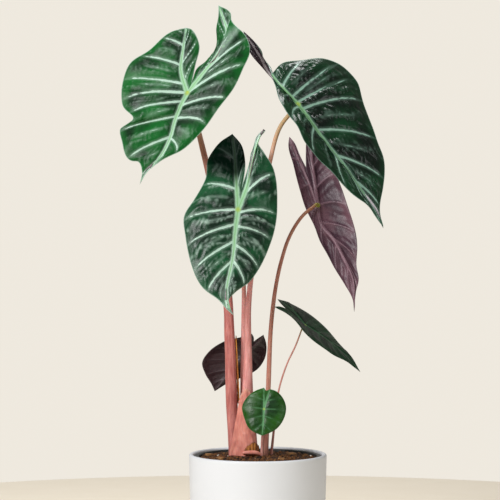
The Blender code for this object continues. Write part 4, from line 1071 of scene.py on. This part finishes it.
# %% the root above the soil
AERIAL_ROOT_RADIUS = 2.1      # mm
WITHIN = 0.97                 # the skin's radius beside the solid's, so that it stays inside it
share = np.linspace(0.0, 1.0, 28)
line = (smooth_line(AERIAL_ROOT, share) + (0, 0, SOIL_TOP)) * MM
radii = AERIAL_ROOT_RADIUS * MM * (0.75 + 0.25 * np.sin(math.pi * share)) * WITHIN
places, triangles, values = tube(line, radii, 20, (0, 0, 1), wave=0.08, seed=64)
root = make_piece("aerial_root_skin", places, triangles, fresh_sheath, {"up": 0 * values["to_end"]})
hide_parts("aerial_root")
print("sheaths and the root above the soil are in place")

# %% [markdown]
# ## The two pots
# Both pots are bodies of revolution: a profile turned about the axis. The cover pot is slip-cast
# stoneware with a matt white glaze, which softens every edge, and it stands on a foot ring. The
# nursery pot inside is thin black polypropylene, moulded with a lip and six drain holes.

# %% turned surfaces
# Sizes in mm, as in the CAD model. A draft is how far a wall leans out for each mm of height.
POT_RADIUS, POT_HEIGHT, POT_WALL = 70.0, 130.0, 4.5
POT_DRAFT = math.tan(math.radians(1.5))
NURSERY_DRAFT = math.tan(math.radians(6.0))
NURSERY_WALL, NURSERY_LIP, NURSERY_LIP_DEPTH, RIM_PLAY = 1.2, 3.0, 7.0, 1.2
SOIL_BELOW_RIM, SOIL_MOUND, SOIL_MOUND_RADIUS = 2.5, 2.5, 27.0


def pot_radius(height):
    """The cover pot's outside radius at a height, in mm."""
    return POT_RADIUS - (POT_HEIGHT - height) * POT_DRAFT


NURSERY_RIM = pot_radius(NURSERY_TOP) - POT_WALL - RIM_PLAY - NURSERY_LIP


def nursery_radius(height):
    """The nursery pot's outside radius at a height, in mm."""
    return NURSERY_RIM - (NURSERY_TOP - height) * NURSERY_DRAFT


def rounded(corners, step=1.5, around=5):
    """A profile through corners (radius, height, rounding), in mm, with its long runs cut up.

    A rounded corner is a quadratic arc from its rounding before the corner to as far after it.
    """
    corners = np.asarray(corners, dtype=float)
    points = [corners[0, :2]]
    for before, corner, after in zip(corners, corners[1:], corners[2:]):
        to_before, to_after = before[:2] - corner[:2], after[:2] - corner[:2]
        start = corner[:2] + to_before / np.linalg.norm(to_before) * corner[2]
        end = corner[:2] + to_after / np.linalg.norm(to_after) * corner[2]
        if corner[2] == 0:
            points.append(corner[:2])
            continue
        for t in np.linspace(0.0, 1.0, around + 1):
            points.append((1 - t)**2 * start + 2 * t * (1 - t) * corner[:2] + t**2 * end)
    points.append(corners[-1, :2])
    fine = [points[0]]
    for a, b in zip(points, points[1:]):
        cuts = max(1, int(np.linalg.norm(b - a) / step))
        fine.extend(a + (b - a) * k / cuts for k in range(1, cuts + 1))
    return np.array(fine)


def turned(profile, segments=192, uneven=0.0, seed=0):
    """(r, z) turned about the axis: (r cos a, r sin a, z). Profiles run down the outer side.

    `uneven` is how many millimetres the radius may wander, as on a hand-finished wall.
    """
    angle = np.linspace(0.0, 2 * math.pi, segments + 1)
    angle[-1] = 0.0
    radius, height = profile[:, 0][:, None], profile[:, 1][:, None]
    level = height + 0 * angle
    ring = np.stack((40 * np.cos(angle) + 0 * height, 40 * np.sin(angle) + 0 * height, level), 2)
    radius = radius + uneven * waves(ring, 60.0, seed) * ease(2.0, 20.0, radius)
    return np.stack((radius * np.cos(angle), radius * np.sin(angle), level), 2)


def make_turned(name, places, material):
    """A piece from a turned grid of places in mm, closed at its seam and on its axis."""
    return make_piece(name, *weld_grid(places), material)


print("nursery pot's rim radius:", round(NURSERY_RIM, 1), "mm")

# %% cover pot
matt_glaze, tree, shader = start_material("stoneware_matt_glaze", IOR=1.5, Roughness=0.5,
                                          Coat_Weight=0.12, Coat_Roughness=0.35)
n = partial(add_node, tree)
here = n("TexCoord", give="Object")
cloud = n("TexNoise", {"Vector": here, "Scale": 1000 / 45, "Detail": 3.0}, "Fac")
grit = n("TexNoise", {"Vector": here, "Scale": 1000 / 0.8, "Detail": 2.0}, "Fac")
pinhole = n("TexVoronoi", {"Vector": here, "Scale": 1000 / 7}, "Distance")
dot = n("MapRange", (pinhole, 0.03, 0.07, 0.3, 0.0), **SOFT)
height = n("SeparateXYZ", {"Vector": here}, "Z")
bare = n("MapRange", (height, 0.0002, 0.0011, 1.0, 0.0))
glaze = tint("#cdd0d5")
for share, over in ((cloud, "#d4d7dc"), (dot, "#b5b9c0"), (bare, "#d8cdb9")):
    glaze = n("Mix", {0: share, 6: glaze, 7: tint(over)}, 2, **COLOURS)
peel = n("Math", (grit, n("Math", (cloud, 2.0), operation="MULTIPLY")), operation="ADD")
finish_shader(tree, shader, glaze, peel, 0.12, 0.6)

floor_edge = pot_radius(POT_FLOOR) - POT_WALL
lip_inner = pot_radius(POT_HEIGHT) - POT_WALL
FOOT_RING, FOOT_DEPTH = 9.0, 1.6
foot = pot_radius(0.0)
profile = rounded([
    (0.0, POT_FLOOR, 0), (floor_edge, POT_FLOOR, 6.0), (lip_inner, POT_HEIGHT, 2.1),
    (pot_radius(POT_HEIGHT), POT_HEIGHT, 2.1), (foot, 0.0, 2.5), (foot - FOOT_RING, 0.0, 0.8),
    (foot - FOOT_RING - 1.5, FOOT_DEPTH, 0.8), (0.0, FOOT_DEPTH, 0)])
pot = make_turned("cover_pot_glazed", turned(profile, uneven=0.06, seed=70), matt_glaze)
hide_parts("cover_pot")
print("cover pot:", len(pot.data.polygons), "triangles")

# %% nursery pot
moulded, tree, shader = start_material("polypropylene_moulded_black", IOR=1.49)
n = partial(add_node, tree)
here = n("TexCoord", give="Object")
scuff = n("TexNoise", {"Vector": here, "Scale": 1000 / 6, "Detail": 5.0}, "Fac")
plastic = n("Mix", {0: scuff, 6: tint("#17191b"), 7: tint("#26292c")}, 2, **COLOURS)
gloss = n("MapRange", (scuff, 0.3, 0.7, 0.22, 0.42))
fine_grain = n("TexNoise", {"Vector": here, "Scale": 1000 / 0.9, "Detail": 2.0}, "Fac")
finish_shader(tree, shader, plastic, fine_grain, 0.15, 0.3, gloss)

bottom = POT_FLOOR + WALL_GAP
lip_under = NURSERY_TOP - NURSERY_LIP_DEPTH
inner_rim = NURSERY_RIM - NURSERY_WALL
profile = rounded([
    (0.0, bottom + NURSERY_WALL, 0), (nursery_radius(bottom) - NURSERY_WALL,
                                      bottom + NURSERY_WALL, 1.0),
    (inner_rim, NURSERY_TOP, 0.6), (NURSERY_RIM + NURSERY_LIP, NURSERY_TOP, 0.8),
    (NURSERY_RIM + NURSERY_LIP, lip_under, 0.3), (nursery_radius(lip_under), lip_under, 0.4),
    (nursery_radius(bottom), bottom, 1.0), (0.0, bottom, 0)], step=2.5)
nursery = make_turned("nursery_pot_moulded", turned(profile, 128), moulded)

DRAIN_HOLES, DRAIN_RADIUS = 6, 4.0
DRAIN_RING = 0.6 * nursery_radius(bottom)     # mm, from the axis to a drain hole's middle
PIN_REACH = 4.0                               # mm, above and below the nursery pot's underside
pin = np.array([(0.0, PIN_REACH), (DRAIN_RADIUS, PIN_REACH), (DRAIN_RADIUS, -PIN_REACH),
                (0.0, -PIN_REACH)])
for hole in range(DRAIN_HOLES):
    turn = 2 * math.pi * hole / DRAIN_HOLES
    place = (DRAIN_RING * math.cos(turn), DRAIN_RING * math.sin(turn), bottom)
    flat, triangles = weld_grid(turned(pin, 32) + place)
    mesh = bpy.data.meshes.new("drain_pin")
    mesh.from_pydata(flat.tolist(), [], triangles.tolist())
    drill = bpy.data.objects.new("drain_pin", mesh)
    bpy.context.scene.collection.objects.link(drill)
    bore = nursery.modifiers.new("bore", "BOOLEAN")
    bore.operation = "DIFFERENCE"
    bore.object = drill
    bpy.context.view_layer.update()
    bored = bpy.data.meshes.new_from_object(nursery.evaluated_get(
        bpy.context.evaluated_depsgraph_get()))
    nursery.modifiers.clear()
    nursery.data = bored
    bpy.data.objects.remove(drill)
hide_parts("nursery_pot")
print("nursery pot:", len(nursery.data.polygons), "faces, with its drain holes")

# %% [markdown]
# ## The soil
# Potting mix is peat and bark fibre in crumbs of every size, darker where it is damp, with a few
# white grains of perlite and loose bark chips on top. The root ball is a turned solid whose top
# is roughened by noise. Over it lie about 1,600 small crumbs, each a knobbly twenty-sided lump.

# %% root ball
mix, tree, shader = start_material("potting_mix_peat", Roughness=0.92)
n = partial(add_node, tree)
here = n("TexCoord", give="Object")
damp = n("TexNoise", {"Vector": here, "Scale": 1000 / 24, "Detail": 3.0}, "Fac")
grain = n("TexNoise", {"Vector": here, "Scale": 1000 / 2.2, "Detail": 6.0}, "Fac")
fleck = n("TexVoronoi", {"Vector": here, "Scale": 1000 / 3.5}, "Color")
fleck = n("SeparateColor", {"Color": fleck}, "Red")
peat = tint("#100804")
for share, over in (
    (n("MapRange", (grain, 0.35, 0.62), **SOFT), "#43240c"),
    (n("MapRange", (damp, 0.4, 0.65, 0.0, 0.5), **SOFT), "#3a2415"),
    (n("MapRange", (fleck, 0.9, 0.95)), "#8a6040"),
):
    peat = n("Mix", {0: share, 6: peat, 7: tint(over)}, 2, **COLOURS)
finish_shader(tree, shader, peat, grain, 0.9, 1.2)

SOIL_EDGE = NURSERY_TOP - SOIL_BELOW_RIM
inset = NURSERY_WALL + WALL_GAP
soil_bottom = POT_FLOOR + WALL_GAP + NURSERY_WALL + WALL_GAP
soil_rim = nursery_radius(SOIL_EDGE) - inset


def soil_height(radius):
    """The soil's height in mm: a low mound in the middle that falls softly to the edge."""
    return SOIL_EDGE + SOIL_MOUND * (1 - ease(SOIL_MOUND_RADIUS * 0.4, soil_rim, radius))


out = np.linspace(0.0, soil_rim, 110)
down = np.linspace(SOIL_EDGE, soil_bottom, 60)[1:]
profile = np.vstack((np.column_stack((out, soil_height(out))),
                     np.column_stack((nursery_radius(down) - inset, down)), [(0.0, soil_bottom)]))
places = turned(profile, 360)
away = ease(soil_bottom, soil_bottom + 4.0, places[:, :, 2]) * ease(0.0, 3.0, np.linalg.norm(
    places[:, :, :2], axis=2))
# Clods of three sizes roughen the top, less at its edge. The side is only dented inwards, so it
# stays inside the nursery pot.
rough = 0.9 * waves(places, 9.0, 80) + 0.6 * waves(places, 4.0, 81, 20) + 0.4 * waves(
    places, 2.2, 82, 20)
top = (np.arange(len(profile)) < len(out))[:, None]
edge_calm = np.where(top, 1 - 0.6 * ease(soil_rim - 3, soil_rim, profile[:, :1]), 0.0)
places[:, :, 2] += (rough - 0.5) * away * edge_calm
wall = (~top) * away * 0.25 * waves(places, 5.0, 83)
places[:, :, :2] *= 1 - (np.abs(wall) / soil_rim)[:, :, None]
soil = make_turned("root_ball", places, mix)
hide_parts("potting_soil")
print("root ball:", len(soil.data.polygons), "triangles")


# %% lumps for crumbs, fibre and perlite
def icosahedron():
    """The 12 corners and 20 faces of a lump, from the golden ratio."""
    g = (1 + math.sqrt(5)) / 2
    corners = np.array([(x, y, 0) for x in (-1, 1) for y in (-g, g)], dtype=float)
    corners = np.vstack((corners, corners[:, [2, 0, 1]], corners[:, [1, 2, 0]]))
    gaps = np.linalg.norm(corners[:, None] - corners[None], axis=2)
    near = np.abs(gaps - 2) < 0.01
    faces = [(a, b, c) for a in range(12) for b in range(a + 1, 12) for c in range(b + 1, 12)
             if near[a, b] and near[b, c] and near[a, c]]
    faces = np.array(faces)
    a, b, c = (corners[faces[:, i]] for i in range(3))
    inward = np.einsum("ij,ij->i", np.cross(b - a, c - a), a) < 0
    faces[inward] = faces[inward][:, ::-1]
    return corners / np.linalg.norm(corners[0]), faces


def scatter(name, count, size, flat, material, seed, clear=0.0):
    """Lumps on the soil: each turned, squeezed and knobbly by chance, all in one piece.

    Place: soil point + turn (corner x half sizes x uneven). Sizes are in millimetres.
    """
    random = np.random.default_rng(seed)
    corners, faces = icosahedron()
    radius = np.sqrt(random.uniform(clear**2, 1.0, count)) * (soil_rim - 1.5)
    angle = random.uniform(0.0, 2 * math.pi, count)
    centre = np.column_stack((radius * np.cos(angle), radius * np.sin(angle),
                              soil_height(radius) - 0.2 + random.uniform(-0.3, 0.6, count)))
    halves = random.uniform(size[0], size[1], (count, 1)) * random.uniform(0.6, 1.3, (count, 3))
    halves[:, 2] *= flat
    lumps = corners[None] * halves[:, None] * random.uniform(0.75, 1.2, (count, len(corners), 1))
    spin = random.uniform(0.0, 2 * math.pi, count)
    lean = random.normal(0.0, 0.35, count)
    cos, sin = np.cos(spin)[:, None], np.sin(spin)[:, None]
    x, y, z = lumps[:, :, 0], lumps[:, :, 1], lumps[:, :, 2]
    y, z = (y * np.cos(lean)[:, None] - z * np.sin(lean)[:, None],
            y * np.sin(lean)[:, None] + z * np.cos(lean)[:, None])
    turned_lumps = np.stack((x * cos - y * sin, x * sin + y * cos, z), 2)
    places = (turned_lumps + centre[:, None]).reshape(-1, 3) * MM
    triangles = (faces[None] + len(corners) * np.arange(count)[:, None, None]).reshape(-1, 3)
    shade = np.repeat(random.uniform(0.0, 1.0, count), len(corners))
    piece = make_piece(name, places, triangles, material, {"shade": shade})
    print(f"{name}: {count} lumps")


# %% materials of the loose pieces, and the crumbs in place
def loose_material(name, dark, light, rough, grain_mm):
    """Small loose stuff: each lump has its own shade, with a fine grain over it."""
    material, tree, shader = start_material(name)
    n = partial(add_node, tree)
    here = n("TexCoord", give="Object")
    shade = n("Attribute", give="Fac", attribute_name="shade")
    grain = n("TexNoise", {"Vector": here, "Scale": 1000 / grain_mm, "Detail": 4.0}, "Fac")
    mixed = n("Math", (shade, n("MapRange", (grain, 0.3, 0.7, -0.4, 0.4))), operation="ADD")
    skin = n("Mix", {0: mixed, 6: tint(dark), 7: tint(light)}, 2, **COLOURS)
    gloss = n("MapRange", (grain, 0.3, 0.7, rough - 0.08, rough + 0.08))
    finish_shader(tree, shader, skin, grain, 0.5, 0.5, gloss)
    return material


crumb_peat = loose_material("peat_crumbs", "#0c0602", "#6e4114", 0.9, 0.9)
fibre_bark = loose_material("bark_fibre", "#3a2110", "#8f6230", 0.82, 1.2)
pale_chip = loose_material("bark_chip_pale", "#5f3a1c", "#a37642", 0.75, 1.5)
perlite = loose_material("perlite_expanded", "#cfc9bd", "#efece4", 0.85, 0.6)
scatter("soil_crumbs", 1300, (0.7, 1.9), 0.8, crumb_peat, 90)
scatter("soil_fibres", 260, (1.0, 2.4), 0.35, fibre_bark, 91)
scatter("soil_perlite", 12, (0.6, 1.2), 0.9, perlite, 92, clear=0.5)


# %% the larger bark chips
BARK_CHIPS = 4
CHIP_GRID = 25
CHIP_FIT = (0.94, 0.94, 0.98)     # the chip's half sizes beside the solid's


def make_chip(number, seed):
    """A bark chip: a squeezed ball that is nearly a block, with splintered ends.

    Place: centre + halves x sign(c) |c|^0.5 for each of the ball's coordinates c, and noise.
    """
    low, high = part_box(f"bark_chip_{number}")
    centre, halves = (np.array(high) + low) / 2 / MM, (np.array(high) - low) / 2 / MM
    ball, _ = ball_grid(CHIP_GRID, 2 * CHIP_GRID)
    block = np.sign(ball) * np.abs(ball) ** 0.5
    block *= (1 + 0.10 * waves(ball * 3, 2.0, seed) + 0.06 * waves(ball * 3, 0.8, seed + 1)
              )[:, :, None]
    block[:, -1] = block[:, 0]
    places = centre + np.clip(block, -1.02, 1.02) * halves * CHIP_FIT
    flat, triangles = weld_grid(places)
    shade = 0.5 + 0.4 * waves(flat / MM, 3.0, seed + 2)
    piece = make_piece(f"bark_chip_{number}_split", flat, triangles, pale_chip, {"shade": shade})
    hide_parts(f"bark_chip_{number}")


for number in range(1, BARK_CHIPS + 1):
    make_chip(number, 100 + 5 * number)
print("bark chips:", BARK_CHIPS)

# %% [markdown]
# ## Corm and roots
# Under the soil is the corm, a swollen stem that stores food. Rings on it mark where old leaves
# grew. Fleshy roots leave its flank and taper down into the root ball.

# %% corm and roots
corm_skin = loose_material("corm_skin_corky", "#4f3626", "#8f6a4e", 0.8, 2.0)
root_skin = loose_material("root_skin_cream", "#a98d6e", "#dccbb0", 0.7, 1.6)
RINGS, RING_DEPTH = 9, 0.015    # leaf scars round the corm, and their depth as a share of it
low, high = (np.array(corner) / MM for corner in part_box("corm"))
ball, polar = ball_grid(90, 121)
rings = 0.985 - RING_DEPTH * np.abs(np.sin(polar * RINGS)) + 0.008 * waves(ball * 20, 7.0, 120)
rings[:, -1] = rings[:, 0]
rings[0], rings[-1] = 0.98, 0.98
places, triangles = weld_grid((low + high) / 2 + ball * rings[:, :, None] * (high - low) / 2)
shade = 0.5 + 0.4 * waves(places / MM, 9.0, 121)
corm = make_piece("corm_ringed", places, triangles, corm_skin, {"shade": shade})
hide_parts("corm")

ROOT_COUNT, ROOT_RADIUS, ROOT_TAPER = 5, 2.0, 0.45
for number in range(1, ROOT_COUNT + 1):
    low, high = (np.array(corner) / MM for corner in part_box(f"root_{number}"))
    turn = 2 * math.pi * (number - 1 + 0.25) / ROOT_COUNT
    out = np.array((math.cos(turn), math.sin(turn)))
    inner = np.where(out > 0, low[:2], high[:2]) + np.sign(out) * ROOT_RADIUS
    outer = np.where(out > 0, high[:2], low[:2]) - np.sign(out) * ROOT_RADIUS * 0.6
    share = np.linspace(0.0, 1.0, 40)[:, None]
    flatwise = inner + (outer - inner) * np.sin(share * math.pi / 2)
    drop = high[2] - 1.0 - (high[2] - low[2] - 2.0) * share**1.3
    radii = ROOT_RADIUS * (1 - ROOT_TAPER * share[:, 0]) * 0.95
    line = np.column_stack((flatwise, drop)) * MM
    places, triangles, _ = tube(line, radii * MM, 16, (0.3, 0.9, 0.1), 0.05, seed=130 + number)
    shade = 0.5 + 0.4 * waves(places / MM, 8.0, 140 + number)
    root = make_piece(f"root_{number}_skin", places, triangles, root_skin, {"shade": shade})
    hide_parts(f"root_{number}")
print("corm and", ROOT_COUNT, "roots")
